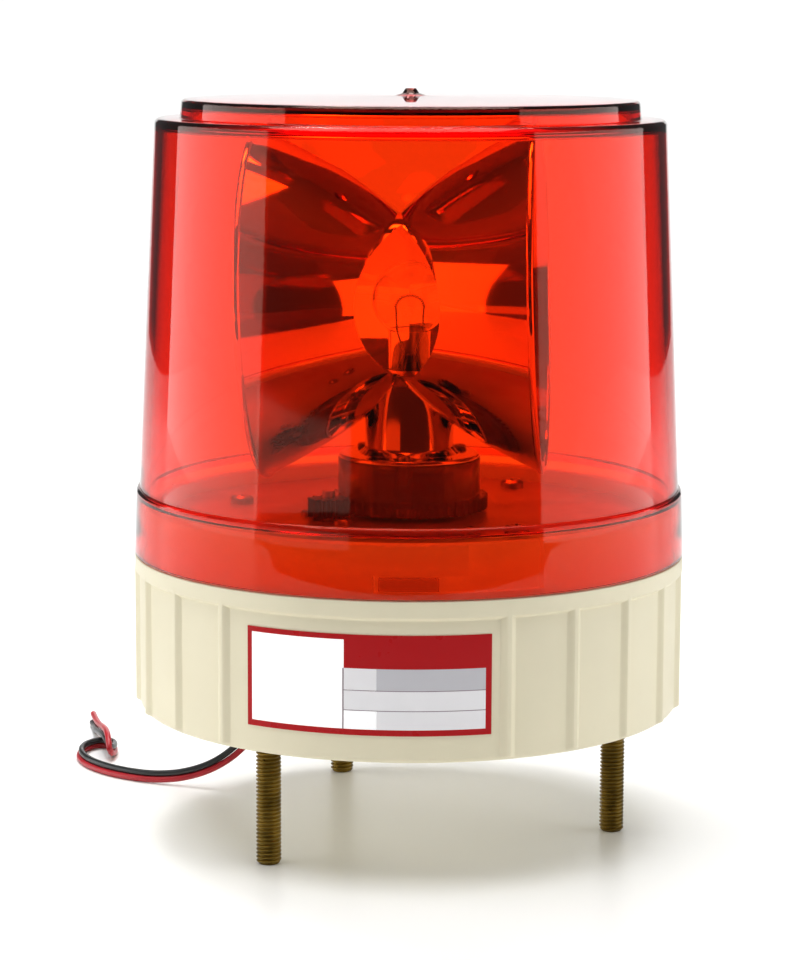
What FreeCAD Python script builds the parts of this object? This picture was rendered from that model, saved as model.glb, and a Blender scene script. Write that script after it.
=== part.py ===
import FreeCAD, Part
import math
import os
import Sketcher

# Rotating beacon: transparent bayonet dome on a ribbed base, a two-way
# mirror on a toothed drum, a small motor under the chassis plate.
# +Z is up.  The origin is on the floor, midway in the whole part's box;
# the part stands on the tips of its three studs.  Millimetres.

V = FreeCAD.Vector
doc = FreeCAD.newDocument("beacon")
sheet = doc.addObject("Spreadsheet::Sheet", "Params")

SIZES = [
    # position of the lamp axis in the part's frame
    ("axis_x", 0.0), ("axis_y", 0.0),
    # base
    ("stud_length", 40.0), ("foot_gap", 1.5), ("floor_thick", 3.5),
    ("base_wall_r", 88.4), ("collar_r", 89.8), ("rib_r", 89.9),
    ("collar_z", 86.6), ("base_top_z", 92.0), ("neck_r", 86.4),
    ("neck_bore_r", 81.5), ("neck_top_z", 108.5), ("base_bore_r", 85.2),
    ("rib_width", 5.0), ("rib_pitch", 15.0), ("rib_first", 20.0), ("rib_count", 21.0),
    ("slot_floor_r", 84.0), ("slot_low_z", 94.0), ("slot_high_z", 99.0),
    ("entry_angle", 16.0), ("run_angle", 35.0), ("twist_angle", 20.0),
    ("lug_angle", 12.0), ("lug_r", 84.35), ("lug_low_z", 94.6), ("lug_high_z", 98.4),
    # studs
    ("stud_r", 4.0), ("stud_circle_r", 68.3), ("stud_first", 110.0),
    ("stud_head_h", 5.3), ("stud_head_af", 13.0), ("stud_shank_r", 3.9), ("stud_hole_r", 4.0),
    ("foot_r", 10.5),
    # dome
    ("skirt_r", 90.0), ("skirt_low_z", 92.4), ("skirt_bore_r", 87.2),
    ("ledge_r", 89.2), ("ledge_z", 113.7), ("wall_low_r", 88.1),
    ("wall_top_r", 82.4), ("shoulder_z", 232.9), ("cap_r", 73.8),
    ("cap_z", 238.9), ("crown_z", 240.1), ("nib_z", 242.5), ("dome_thick", 2.8),
    # chassis
    ("plate_r", 79.0), ("plate_low_z", 102.5), ("plate_z", 104.0),
    ("post_r", 9.5), ("post_top_z", 150.0), ("post_bore_r", 8.56),
    ("socket_floor_z", 127.2),
    # drum and gears
    ("gear_module", 1.0), ("hub_teeth", 50.0), ("pinion_teeth", 12.0),
    ("gear_low_z", 105.6), ("gear_high_z", 110.6), ("drum_r", 23.3),
    ("drum_top_z", 122.8), ("motor_angle", 213.0), ("motor_r", 14.0),
    ("bush_r", 12.0), ("bush_bore_r", 9.56),
    # mirror and lamp
    ("focus_z", 174.5), ("mirror_f", 13.3), ("mirror_top_z", 228.0), ("mirror_half", 45.0),
    ("mirror_thick", 1.4), ("mirror_offset", 2.8), ("mirror_lean", 1.8),
    ("mirror_turn", -5.5), ("neck_tube_r", 14.5), ("window_half_w", 13.7),
    ("window_half_h", 25.2), ("window_shift", 2.4), ("glass_r", 12.4), ("cap_shell_r", 7.55),
    # label
    ("label_r", 88.4), ("label_thick", 0.3), ("label_low_z", 50.2),
    ("label_high_z", 81.3), ("label_from", -33.7), ("label_to", 16.6),
    # leads
    ("lead_r", 1.1), ("lead_gap", 2.36),
]

for i, (name, value) in enumerate(SIZES):
    row = i + 1
    sheet.set("A%d" % row, name)
    sheet.set("B%d" % row, repr(float(value)))
    sheet.setAlias("B%d" % row, name)
doc.recompute()
P = {name: float(sheet.get(name)) for name, _ in SIZES}


class Q:
    """A size with its value and the sheet expression that drives it."""

    def __init__(self, value, text):
        self.v = float(value)
        self.e = text

    def _lift(self, other):
        return other if isinstance(other, Q) else Q(other, "%.6f" % other)

    def __add__(self, other):
        o = self._lift(other)
        return Q(self.v + o.v, "(%s + %s)" % (self.e, o.e))

    def __sub__(self, other):
        o = self._lift(other)
        return Q(self.v - o.v, "(%s - %s)" % (self.e, o.e))

    def __mul__(self, other):
        o = self._lift(other)
        return Q(self.v * o.v, "(%s * %s)" % (self.e, o.e))


def q(name):
    return Q(P[name], "Params.%s" % name)


def n(value):
    return Q(value, "%.6f" % value)


def as_q(x):
    return x if isinstance(x, Q) else n(x)


def bind(obj, prop, x):
    x = as_q(x)
    obj.setExpression(prop, x.e)


def origin_item(body, role):
    for f in body.Origin.OriginFeatures:
        if f.Role == role:
            return f


def new_body(name):
    return doc.addObject("PartDesign::Body", name)


def poly_sketch(body, name, pts, plane="XZ_Plane", offset=None):
    """Closed outline; every corner is held by a bound distance."""
    sk = body.newObject("Sketcher::SketchObject", name)
    sk.AttachmentSupport = [(origin_item(body, plane), "")]
    sk.MapMode = "FlatFace"
    if offset is not None:
        sk.AttachmentOffset = offset
    pts = [(as_q(a), as_q(b)) for a, b in pts]
    m = len(pts)
    for i in range(m):
        a, b = pts[i], pts[(i + 1) % m]
        sk.addGeometry(Part.LineSegment(V(a[0].v, a[1].v, 0), V(b[0].v, b[1].v, 0)), False)
    for i in range(m):
        sk.addConstraint(Sketcher.Constraint("Coincident", i, 2, (i + 1) % m, 1))
    for i in range(m):
        for kind, val, tag, axis in (("DistanceX", pts[i][0], "r", -2), ("DistanceY", pts[i][1], "z", -1)):
            if abs(val.v) < 1e-9:
                sk.addConstraint(Sketcher.Constraint("PointOnObject", i, 1, axis))
            else:
                c = sk.addConstraint(Sketcher.Constraint(kind, -1, 1, i, 1, val.v))
                label = "%s%d" % (tag, i)
                sk.renameConstraint(c, label)
                sk.setExpression("Constraints." + label, val.e)
    return sk


def revolved(name, pts):
    body = new_body(name)
    sk = poly_sketch(body, name + "_outline", pts)
    rev = body.newObject("PartDesign::Revolution", name + "_turned")
    rev.Profile = sk
    rev.ReferenceAxis = (sk, ["V_Axis"])
    rev.Angle = 360.0
    doc.recompute()
    return body


def cylinder(name, r, low, high, x=0, y=0):
    c = doc.addObject("Part::Cylinder", name)
    low, high, r = as_q(low), as_q(high), as_q(r)
    bind(c, "Radius", r)
    bind(c, "Height", high - low)
    bind(c, "Placement.Base.z", low)
    bind(c, "Placement.Base.x", x)
    bind(c, "Placement.Base.y", y)
    return c


def sector(name, r_in, r_out, low, high, start, span):
    """Ring sector from start degrees, span degrees wide."""
    parts = []
    for tag, r in (("out", r_out), ("in", r_in)):
        c = doc.addObject("Part::Cylinder", "%s_%s" % (name, tag))
        bind(c, "Radius", r)
        grow = 0.0 if tag == "out" else 1.0
        bind(c, "Height", as_q(high) - as_q(low) + 2 * grow)
        if tag == "out":
            bind(c, "Angle", span)
        c.Placement = FreeCAD.Placement(V(0, 0, as_q(low).v - grow), FreeCAD.Rotation(V(0, 0, 1), start))
        bind(c, "Placement.Base.z", as_q(low) - grow)
        parts.append(c)
    return cut(name, parts[0], parts[1])


def cut(name, base, tool):
    if isinstance(tool, list):
        tool = fuse(name + "_tools", tool) if len(tool) > 1 else tool[0]
    c = doc.addObject("Part::Cut", name)
    c.Base = base
    c.Tool = tool
    return c


def fuse(name, items):
    f = doc.addObject("Part::MultiFuse", name)
    f.Shapes = items
    return f


def scripted(name, shape):
    f = doc.addObject("Part::Feature", name)
    f.Shape = shape
    f.Placement = FreeCAD.Placement()
    return f


def prism(name, sides_af, low, high, x, y, turn=0.0):
    """Regular hexagonal prism across flats."""
    p = doc.addObject("Part::Prism", name)
    p.Polygon = 6
    low, high = as_q(low), as_q(high)
    bind(p, "Circumradius", as_q(sides_af) * (1 / math.sqrt(3)))
    bind(p, "Height", high - low)
    p.Placement = FreeCAD.Placement(V(x, y, low.v), FreeCAD.Rotation(V(0, 0, 1), turn))
    bind(p, "Placement.Base.z", low)
    return p


NODES = {}


def node(name, obj):
    obj.Label = name
    NODES[name] = obj
    return obj


def polar(r, deg):
    return r * math.cos(math.radians(deg)), r * math.sin(math.radians(deg))


z_foot = q("stud_length")
z_under = z_foot + q("foot_gap")
z_floor = z_under + q("floor_thick")

STUDS = [polar(P["stud_circle_r"], P["stud_first"] + 120 * k) for k in range(3)]
POSTS = [(-56.0, 15.0), (36.0, 53.5), (33.8, -40.0)]
TERMINAL = (19.6, -40.4)
CABLE = (-50.0, 38.0)
centre_distance = P["gear_module"] * (P["hub_teeth"] + P["pinion_teeth"]) / 2
MOTOR = polar(centre_distance, P["motor_angle"])
_t = math.radians(P["motor_angle"] + 90)
MOTOR_SCREWS = [(MOTOR[0] + s * 10.2 * math.cos(_t) + 1.2 * math.cos(_t - math.pi / 2),
                 MOTOR[1] + s * 10.2 * math.sin(_t) + 1.2 * math.sin(_t - math.pi / 2)) for s in (-1, 1)]

# ---------------------------------------------------------------- base
base = new_body("base_body")
sk = poly_sketch(base, "base_outline", [
    (0, z_under), (q("base_wall_r") - 1.5, z_under), (q("base_wall_r"), z_under + 1.5),
    (q("base_wall_r"), q("collar_z")), (q("collar_r"), q("collar_z") + 0.8),
    (q("collar_r"), q("base_top_z") - 0.4), (q("collar_r") - 0.4, q("base_top_z")),
    (q("neck_r"), q("base_top_z")), (q("neck_r"), q("neck_top_z") - 0.6),
    (q("neck_r") - 0.6, q("neck_top_z")), (q("neck_bore_r"), q("neck_top_z")),
    (q("neck_bore_r"), q("base_top_z") - 1.5), (q("base_bore_r"), q("collar_z") - 3),
    (q("base_bore_r"), z_floor), (0, z_floor)])
rev = base.newObject("PartDesign::Revolution", "base_turned")
rev.Profile = sk
rev.ReferenceAxis = (sk, ["V_Axis"])
rev.Angle = 360.0
doc.recompute()
# one rib, then its pattern round the wall; the label panel stays plain
first = -90.0 + P["rib_first"]
rib_sk = poly_sketch(base, "rib_outline", [
    (q("base_wall_r") - 1.2, q("rib_width") * -0.5), (q("base_wall_r") + 0.15, q("rib_width") * -0.5),
    (q("rib_r"), q("rib_width") * -0.5 + 1.9), (q("rib_r"), q("rib_width") * 0.5 - 1.9),
    (q("base_wall_r") + 0.15, q("rib_width") * 0.5), (q("base_wall_r") - 1.2, q("rib_width") * 0.5)],
    plane="XY_Plane",
    offset=FreeCAD.Placement(V(0, 0, z_under.v + 0.8), FreeCAD.Rotation(V(0, 0, 1), first)))
rib_sk.setExpression("AttachmentOffset.Base.z", (z_under + 0.8).e)
rib = base.newObject("PartDesign::Pad", "rib")
rib.Profile = rib_sk
bind(rib, "Length", q("collar_z") - z_under)
doc.recompute()
rib_ring = base.newObject("PartDesign::PolarPattern", "rib_ring")
rib_ring.Originals = [rib]
rib_ring.Axis = (origin_item(base, "Z_Axis"), [""])
rib_ring.Angle = P["rib_pitch"] * (P["rib_count"] - 1)
rib_ring.Occurrences = int(P["rib_count"])
base.Tip = rib_ring
doc.recompute()

adds, cuts = [base], []
for k, (x, y) in enumerate(STUDS):
    adds.append(cylinder("foot_%d" % k, q("foot_r"), z_foot, z_floor, x, y))
    adds.append(cylinder("stud_pad_%d" % k, q("foot_r") - 1, z_floor - 0.5, z_floor + 1, x, y))
    cuts.append(cylinder("stud_hole_%d" % k, q("stud_hole_r"), z_foot - 1, z_floor + 2, x, y))
for k, (x, y) in enumerate(POSTS):
    adds.append(cylinder("pillar_%d" % k, 5.0, z_floor - 0.5, q("plate_low_z"), x, y))
    cuts.append(cylinder("pillar_hole_%d" % k, 1.95, q("plate_low_z") - 14, q("plate_low_z") + 1, x, y))
cuts.append(cylinder("cable_hole", 5.0, z_under - 1, z_floor + 1, CABLE[0], CABLE[1]))
for k in range(3):
    a = 30.0 + 120 * k          # the locked lug's centre
    cuts.append(sector("slot_run_%d" % k, q("slot_floor_r"), q("neck_r") + 1,
                       q("slot_low_z"), q("slot_high_z"), a - 7, q("run_angle")))
    cuts.append(sector("slot_entry_%d" % k, q("slot_floor_r"), q("neck_r") + 1,
                       q("slot_low_z"), q("neck_top_z") + 1, a + 12, q("entry_angle")))
node("base_housing", cut("base_cut", fuse("base_sum", adds), cuts))

# ---------------------------------------------------------------- studs
studs = []
for k, (x, y) in enumerate(STUDS):
    thread = cylinder("stud_thread_%d" % k, q("stud_r"), 0.7, z_foot, x, y)
    shank = cylinder("stud_shank_%d" % k, q("stud_shank_r"), z_foot - 1, z_floor + 1.2, x, y)
    tip = doc.addObject("Part::Cone", "stud_tip_%d" % k)
    bind(tip, "Radius1", q("stud_r") - 0.7)
    bind(tip, "Radius2", q("stud_r"))
    tip.Height = 0.7
    tip.Placement = FreeCAD.Placement(V(x, y, 0), FreeCAD.Rotation())
    head = prism("stud_head_%d" % k, q("stud_head_af"), z_floor + 1, z_floor + 1 + q("stud_head_h"), x, y, 15 * k)
    studs.append(fuse("stud_%d" % k, [thread, shank, tip, head]))
group = doc.addObject("Part::Compound", "stud_group")
group.Links = studs
node("mounting_studs", group)

# ---------------------------------------------------------------- dome
t = q("dome_thick")
dome = revolved("dome_body", [
    (q("skirt_bore_r"), q("skirt_low_z")), (q("skirt_r"), q("skirt_low_z")),
    (q("ledge_r"), q("ledge_z") - 1), (q("ledge_r") - 0.6, q("ledge_z")),
    (q("wall_low_r"), q("ledge_z")), (q("wall_top_r"), q("shoulder_z") - 1.2),
    (q("wall_top_r") - 0.9, q("shoulder_z")), (q("cap_r") + 0.5, q("shoulder_z")),
    (q("cap_r"), q("cap_z") - 0.7), (q("cap_r") - 0.8, q("cap_z")),
    (5.2, q("crown_z")), (2.7, q("crown_z") + 0.8), (1.7, q("nib_z") - 0.1), (0, q("nib_z")),
    (0, q("crown_z") - t), (q("cap_r") - t, q("cap_z") - t),
    (q("cap_r") - t, q("shoulder_z") - t), (q("wall_top_r") - t, q("shoulder_z") - t),
    (q("wall_low_r") - t, q("ledge_z") - t), (q("skirt_bore_r"), q("ledge_z") - t)])
lugs = []
for k in range(3):
    a = 30.0 + 120 * k
    lugs.append(sector("lug_%d" % k, q("lug_r"), q("skirt_bore_r") + 0.4,
                       q("lug_low_z"), q("lug_high_z"), a - 6, q("lug_angle")))
node("dome", fuse("dome_sum", [dome] + lugs))

node("dome_seal", revolved("seal_body", [
    (q("neck_r") + 0.3, q("base_top_z")), (q("neck_r") + 2.2, q("base_top_z")),
    (q("neck_r") + 2.2, q("skirt_low_z") - 0.04), (q("neck_r") + 0.3, q("skirt_low_z") - 0.04)]))

# ---------------------------------------------------------------- label
node("rating_label", sector("label_cut", q("label_r") + 0.01, q("label_r") + q("label_thick"),
                            q("label_low_z"), q("label_high_z"), -90 + P["label_from"],
                            q("label_to") - q("label_from")))

# ---------------------------------------------------------------- chassis
plate = new_body("plate_body")
psk = plate.newObject("Sketcher::SketchObject", "plate_outline")
psk.AttachmentSupport = [(origin_item(plate, "XY_Plane"), "")]
psk.MapMode = "FlatFace"
psk.AttachmentOffset = FreeCAD.Placement(V(0, 0, P["plate_low_z"]), FreeCAD.Rotation())
psk.setExpression("AttachmentOffset.Base.z", "Params.plate_low_z")
HOLES = [(0.0, 0.0, 6.1), (MOTOR[0], MOTOR[1], 5.0), (TERMINAL[0], TERMINAL[1], 1.6),
         (-12.0, 52.0, 4.0)]
HOLES += [(x, y, 2.1) for x, y in POSTS] + [(x, y, 1.35) for x, y in MOTOR_SCREWS]
psk.addGeometry(Part.Circle(V(0, 0, 0), V(0, 0, 1), P["plate_r"]), False)
psk.addConstraint(Sketcher.Constraint("Coincident", 0, 3, -1, 1))
c = psk.addConstraint(Sketcher.Constraint("Radius", 0, P["plate_r"]))
psk.renameConstraint(c, "rim")
psk.setExpression("Constraints.rim", "Params.plate_r")
for i, (x, y, r) in enumerate(HOLES):
    g = psk.addGeometry(Part.Circle(V(x, y, 0), V(0, 0, 1), r), False)
    psk.addConstraint(Sketcher.Constraint("Radius", g, r))
    if x == 0 and y == 0:
        psk.addConstraint(Sketcher.Constraint("Coincident", g, 3, -1, 1))
    else:
        psk.addConstraint(Sketcher.Constraint("DistanceX", -1, 1, g, 3, x))
        psk.addConstraint(Sketcher.Constraint("DistanceY", -1, 1, g, 3, y))
pad = plate.newObject("PartDesign::Pad", "plate_pad")
pad.Profile = psk
bind(pad, "Length", q("plate_z") - q("plate_low_z"))
doc.recompute()
node("chassis_plate", plate)


def pan_screws(name, spots, r_head, h_head, r_shank, length, z, slot=0.8):
    """Pan-head screws with a cross recess, heads on height z."""
    out = []
    for k, (x, y) in enumerate(spots):
        tag = "%s_%d" % (name, k)
        head = cylinder(tag + "_head", r_head, z, z + h_head * 0.7, x, y)
        top = doc.addObject("Part::Cone", tag + "_top")
        top.Radius1 = r_head
        top.Radius2 = r_head * 0.72
        top.Height = h_head * 0.3
        top.Placement = FreeCAD.Placement(V(x, y, z.v + h_head * 0.7), FreeCAD.Rotation())
        bind(top, "Placement.Base.z", z + h_head * 0.7)
        shank = cylinder(tag + "_shank", r_shank, z - length, z + 0.1, x, y)
        bars = []
        for j, (lx, ly) in enumerate(((r_head, slot), (slot, r_head))):
            b = doc.addObject("Part::Box", "%s_bar_%d" % (tag, j))
            b.Length, b.Width, b.Height = lx, ly, h_head
            b.Placement = FreeCAD.Placement(V(x - lx / 2, y - ly / 2, z.v + h_head * 0.4), FreeCAD.Rotation())
            bind(b, "Placement.Base.z", z + h_head * 0.4)
            bars.append(b)
        out.append(cut(tag, fuse(tag + "_sum", [head, top, shank]), bars))
    if len(out) == 1:
        return out[0]
    g = doc.addObject("Part::Compound", name)
    g.Links = out
    return g


node("chassis_screws", pan_screws("chassis_screw", POSTS, 3.9, 2.8, 1.9, 13.0, q("plate_z")))

# fixed hollow post, its nut, the drum's washer and ring
node("centre_post", revolved("post_body", [
    (4.0, q("plate_low_z") - 8.5), (6.0, q("plate_low_z") - 8.5), (6.0, q("plate_z")),
    (12.4, q("plate_z")), (12.4, q("plate_z") + 1.0), (q("post_r"), q("plate_z") + 1.0),
    (q("post_r"), q("post_top_z")), (q("post_bore_r"), q("post_top_z")),
    (q("post_bore_r"), q("socket_floor_z")), (4.0, q("socket_floor_z"))]))
node("post_nut", cut("post_nut_cut",
                     prism("post_nut_hex", 18.0, q("plate_low_z") - 5, q("plate_low_z"), 0, 0, 12),
                     cylinder("post_nut_bore", 6.05, q("plate_low_z") - 6, q("plate_low_z") + 1)))
node("thrust_washer", revolved("washer_body", [
    (q("post_r") + 0.05, q("plate_z") + 1.0), (12.3, q("plate_z") + 1.0),
    (12.3, q("plate_z") + 1.55), (q("post_r") + 0.05, q("plate_z") + 1.55)]))
node("retaining_ring", cut("ring_gap",
                           revolved("ring_body", [
                               (q("post_r") + 0.02, 119.0), (11.6, 119.0), (11.6, 120.2),
                               (q("post_r") + 0.02, 120.2)]),
                           sector("ring_slit", 9.0, 13.0, 118.5, 121.0, 250, 24.0)))

# ---------------------------------------------------------------- gears


def gear_outline(teeth, module, shift_deg, backlash, angle=25.0, add=0.8, ded=1.05):
    """Closed wire of an involute stub-tooth gear; a tooth is centred on shift_deg."""
    pa = math.radians(angle)
    rp = module * teeth / 2
    rb = rp * math.cos(pa)
    ra = rp + add * module
    rf = rp - ded * module

    def inv(x):
        return math.tan(x) - x

    half = math.pi / (2 * teeth) - backlash / (2 * rp)      # half tooth angle on the pitch circle
    pts = []
    start = max(rb, rf)
    steps = 7
    flank = []
    for i in range(steps):
        r = start + (ra - start) * i / (steps - 1)
        a = math.acos(min(1.0, rb / r))
        flank.append((r, half + inv(pa) - inv(a)))
    for k in range(teeth):
        c0 = math.radians(shift_deg) + 2 * math.pi * k / teeth
        if rf < start - 1e-6:
            pts.append((rf, c0 - flank[0][1]))
        pts += [(r, c0 - a) for r, a in flank]
        pts += [(r, c0 + a) for r, a in reversed(flank)]
        if rf < start - 1e-6:
            pts.append((rf, c0 + flank[0][1]))
    vs = [V(r * math.cos(a), r * math.sin(a), 0) for r, a in pts]
    vs.append(vs[0])
    return Part.makePolygon(vs)


def gear_solid(teeth, module, shift, backlash, low, high, at, bore):
    face = Part.Face(gear_outline(teeth, module, shift, backlash))
    body = face.extrude(V(0, 0, high - low))
    body.translate(V(at[0], at[1], low))
    hole = Part.makeCylinder(bore, high - low + 2, V(at[0], at[1], low - 1))
    return body.cut(hole)


n_hub, n_pin = int(P["hub_teeth"]), int(P["pinion_teeth"])
ring_gear = scripted("ring_gear", gear_solid(n_hub, P["gear_module"], P["motor_angle"], 0.16,
                                             P["gear_low_z"], P["gear_high_z"], (0, 0), 20.0))
drum = revolved("drum_body", [
    (q("bush_r"), q("gear_low_z")), (22.0, q("gear_low_z")), (22.0, q("gear_high_z")),
    (q("drum_r"), q("gear_high_z")), (q("drum_r"), q("drum_top_z")),
    (q("drum_r") - 2, q("drum_top_z")), (q("drum_r") - 2, q("gear_low_z") + 2.4),
    (15.0, q("gear_low_z") + 2.4), (15.0, 118.0), (q("bush_r"), 118.0)])
FLANGE_SPOTS = [polar(18.4, 30 + 120 * k + P["mirror_turn"]) for k in range(3)]
drum_bosses = [cylinder("drum_boss_%d" % k, 3.15, q("gear_low_z") + 2.0, q("drum_top_z"), x, y)
               for k, (x, y) in enumerate(FLANGE_SPOTS)]
drum_holes = [cylinder("drum_hole_%d" % k, 1.25, q("drum_top_z") - 9, q("drum_top_z") + 1, x, y)
              for k, (x, y) in enumerate(FLANGE_SPOTS)]
node("gear_hub", cut("hub_cut", fuse("hub_sum", [ring_gear, drum] + drum_bosses), drum_holes))
node("hub_bush", revolved("bush_body", [
    (q("bush_bore_r"), q("gear_low_z")), (q("bush_r"), q("gear_low_z")),
    (q("bush_r"), 118.6), (q("bush_bore_r"), 118.6)]))

# the pinion has a gap where the ring gear has a tooth
node("motor_pinion", scripted("pinion_gear", gear_solid(
    n_pin, P["gear_module"], P["motor_angle"] - 180 + 180.0 / n_pin, 0.16,
    P["gear_low_z"] - 0.3, P["gear_high_z"] + 0.9, MOTOR, 2.01)))
node("motor_shaft", cylinder("shaft_rod", 2.0, 96.0, 114.0, n(MOTOR[0]), n(MOTOR[1])))

motor_can = cylinder("motor_can", q("motor_r"), 66.0, 94.0, n(MOTOR[0]), n(MOTOR[1]))
motor_front = cylinder("motor_front", q("motor_r") + 0.6, 93.0, q("plate_low_z"), n(MOTOR[0]), n(MOTOR[1]))
motor_tail = cylinder("motor_tail", 4.5, 63.5, 66.5, n(MOTOR[0]), n(MOTOR[1]))
motor_bore = cylinder("motor_bore", 2.06, 95.0, 104.0, n(MOTOR[0]), n(MOTOR[1]))
motor_taps = [cylinder("motor_tap_%d" % k, 1.2, 97.0, 104.0, n(x), n(y)) for k, (x, y) in enumerate(MOTOR_SCREWS)]
node("motor_body", cut("motor_cut", fuse("motor_sum", [motor_can, motor_front, motor_tail]), [motor_bore] + motor_taps))
node("motor_screws", pan_screws("motor_screw", MOTOR_SCREWS, 2.5, 1.9, 1.15, 6.5, q("plate_z"), 0.6))

# ---------------------------------------------------------------- mirror
FZ, F, HALF, TK = P["focus_z"], P["mirror_f"], P["mirror_half"], P["mirror_thick"]


def bowl_profile(extra):
    """Half outline of one bowl's surface, offset outward by extra, from waist to rim."""
    out = []
    for i in range(13):
        x = HALF * i / 12.0
        out.append((x, math.sqrt(4 * F * (x + F)) + extra))
    return out


def horn(extra, reach):
    """Solid of revolution about the mirror's own axis, both bowls together."""
    prof = bowl_profile(extra)
    right = [V(x, r, 0) for x, r in prof]
    if reach > 0:
        right.append(V(HALF + reach, prof[-1][1] + reach * 0.4, 0))
    left = [V(-p.x, p.y, 0) for p in right]
    edges = []
    for pts in (left, right):
        c = Part.BSplineCurve()
        c.interpolate(pts)
        edges.append(c.toShape())
    end_r = right[-1]
    end_l = left[-1]
    edges.append(Part.LineSegment(end_r, V(end_r.x, 0, 0)).toShape())
    edges.append(Part.LineSegment(V(end_r.x, 0, 0), V(end_l.x, 0, 0)).toShape())
    edges.append(Part.LineSegment(V(end_l.x, 0, 0), end_l).toShape())
    wire = Part.Wire(Part.__sortEdges__(edges))
    solid = Part.Face(wire).revolve(V(0, 0, 0), V(1, 0, 0), 360)
    if solid.Volume < 0:
        solid.reverse()
    return solid


def below(height):
    """Half space under a level, in the mirror's own frame."""
    return Part.makeBox(240, 240, 200, V(-120, -120, height - FZ - 200))


def rim_band():
    """Rolled edge round each mouth."""
    r0 = math.sqrt(4 * F * (HALF + F))
    out = None
    for s in (1, -1):
        ring = Part.makeCylinder(r0 + TK + 0.9, 2.2, V(s * HALF - 1.1, 0, 0), V(1, 0, 0)).common(
            below(P["mirror_top_z"] + 0.6)).cut(
            Part.makeCylinder(r0 - 0.05, 3.2, V(s * HALF - 1.6, 0, 0), V(1, 0, 0)).common(
                below(P["mirror_top_z"] - TK)))
        out = ring if out is None else out.fuse(ring)
    return out


outer = horn(TK, 0.0)
inner = horn(0.0, 3.0)
# the top of both bowls is a flat facet, so that the pair fits under the dome
bowls = outer.common(below(P["mirror_top_z"])).cut(inner.common(below(P["mirror_top_z"] - TK)))
half_w, half_h = P["window_half_w"], P["window_half_h"]
arc_r = (half_h ** 2 + half_w ** 2) / (2 * half_w)
va, vb = V(0, 0, half_h), V(0, 0, -half_h)
lens = Part.Wire([Part.Arc(va, V(half_w, 0, 0), vb).toShape(), Part.Arc(vb, V(-half_w, 0, 0), va).toShape()])
# one pointed window, in the front of the waist only
window = Part.Face(lens).extrude(V(0, 60, 0))
window.translate(V(P["window_shift"], -60, 0))
bowls = bowls.cut(window).fuse(rim_band())
bowls.rotate(V(0, 0, 0), V(0, 1, 0), -P["mirror_lean"])
bowls.translate(V(-P["mirror_offset"], 0, FZ))
# neck tube from the flange up into the waist
tube_r = P["neck_tube_r"]
tube = Part.makeCylinder(tube_r, FZ - P["drum_top_z"], V(0, 0, P["drum_top_z"]))
cavity = horn(0.0, 3.0)
cavity.rotate(V(0, 0, 0), V(0, 1, 0), -P["mirror_lean"])
cavity.translate(V(-P["mirror_offset"], 0, FZ))
tube = tube.cut(cavity)
tube = sorted(tube.Solids, key=lambda s: s.BoundBox.ZMin)[0]
flange = Part.makeCylinder(P["drum_r"] - 0.4, 1.4, V(0, 0, P["drum_top_z"]))
bore = Part.makeCylinder(tube_r - 1.6, 36, V(0, 0, P["drum_top_z"] - 1))
neck = tube.fuse(flange).cut(bore)
bowls = bowls.cut(Part.makeCylinder(tube_r, FZ - P["drum_top_z"], V(0, 0, P["drum_top_z"])))
half_space = Part.makeBox(120, 240, 240, V(0, -120, -120))
half_space.rotate(V(0, 0, 0), V(0, 1, 0), -P["mirror_lean"])
half_space.translate(V(-P["mirror_offset"], 0, FZ))
right_bowl, left_bowl = bowls.common(half_space), bowls.cut(half_space)
pieces = []
for piece in (left_bowl, right_bowl, neck):
    piece.rotate(V(0, 0, 0), V(0, 0, 1), P["mirror_turn"])
    if piece is neck:
        for x, y in FLANGE_SPOTS:
            piece = piece.cut(Part.makeCylinder(1.35, 4, V(x, y, P["drum_top_z"] - 1)))
    piece = piece.removeSplitter()
    solids = sorted(piece.Solids, key=lambda one: -one.Volume)
    assert all(one.Volume < 1.0 for one in solids[1:]), [one.Volume for one in solids]
    pieces.append(solids[0])
node("reflector_left", scripted("mirror_left", pieces[0]))
node("reflector_right", scripted("mirror_right", pieces[1]))
node("reflector_neck", scripted("mirror_neck", pieces[2]))

# ---------------------------------------------------------------- lamp
glass_in = q("glass_r") - 0.8
glass = new_body("glass_body")
gsk = glass.newObject("Sketcher::SketchObject", "glass_outline")
gsk.AttachmentSupport = [(origin_item(glass, "XZ_Plane"), "")]
gsk.MapMode = "FlatFace"
GR, GI = P["glass_r"], P["glass_r"] - 0.8
a_out = math.asin(6.9 / GR)
a_in = math.asin(6.1 / GI)
mid = math.radians(100)


def on_ball(r, a):
    # a measured from straight down
    return V(r * math.sin(a), FZ - r * math.cos(a), 0)


gsk.addGeometry(Part.Arc(on_ball(GR, a_out), on_ball(GR, mid), V(0, FZ + GR, 0)), False)
gsk.addGeometry(Part.LineSegment(V(0, FZ + GR, 0), V(0, FZ + GI, 0)), False)
gsk.addGeometry(Part.Arc(V(0, FZ + GI, 0), on_ball(GI, mid), on_ball(GI, a_in)), False)
gsk.addGeometry(Part.LineSegment(on_ball(GI, a_in), V(6.1, 150.2, 0)), False)
gsk.addGeometry(Part.LineSegment(V(6.1, 150.2, 0), V(6.9, 150.2, 0)), False)
gsk.addGeometry(Part.LineSegment(V(6.9, 150.2, 0), on_ball(GR, a_out)), False)
grev = glass.newObject("PartDesign::Revolution", "glass_turned")
grev.Profile = gsk
grev.ReferenceAxis = (gsk, ["V_Axis"])
grev.Angle = 360.0
doc.recompute()
node("bulb_glass", glass)

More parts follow.
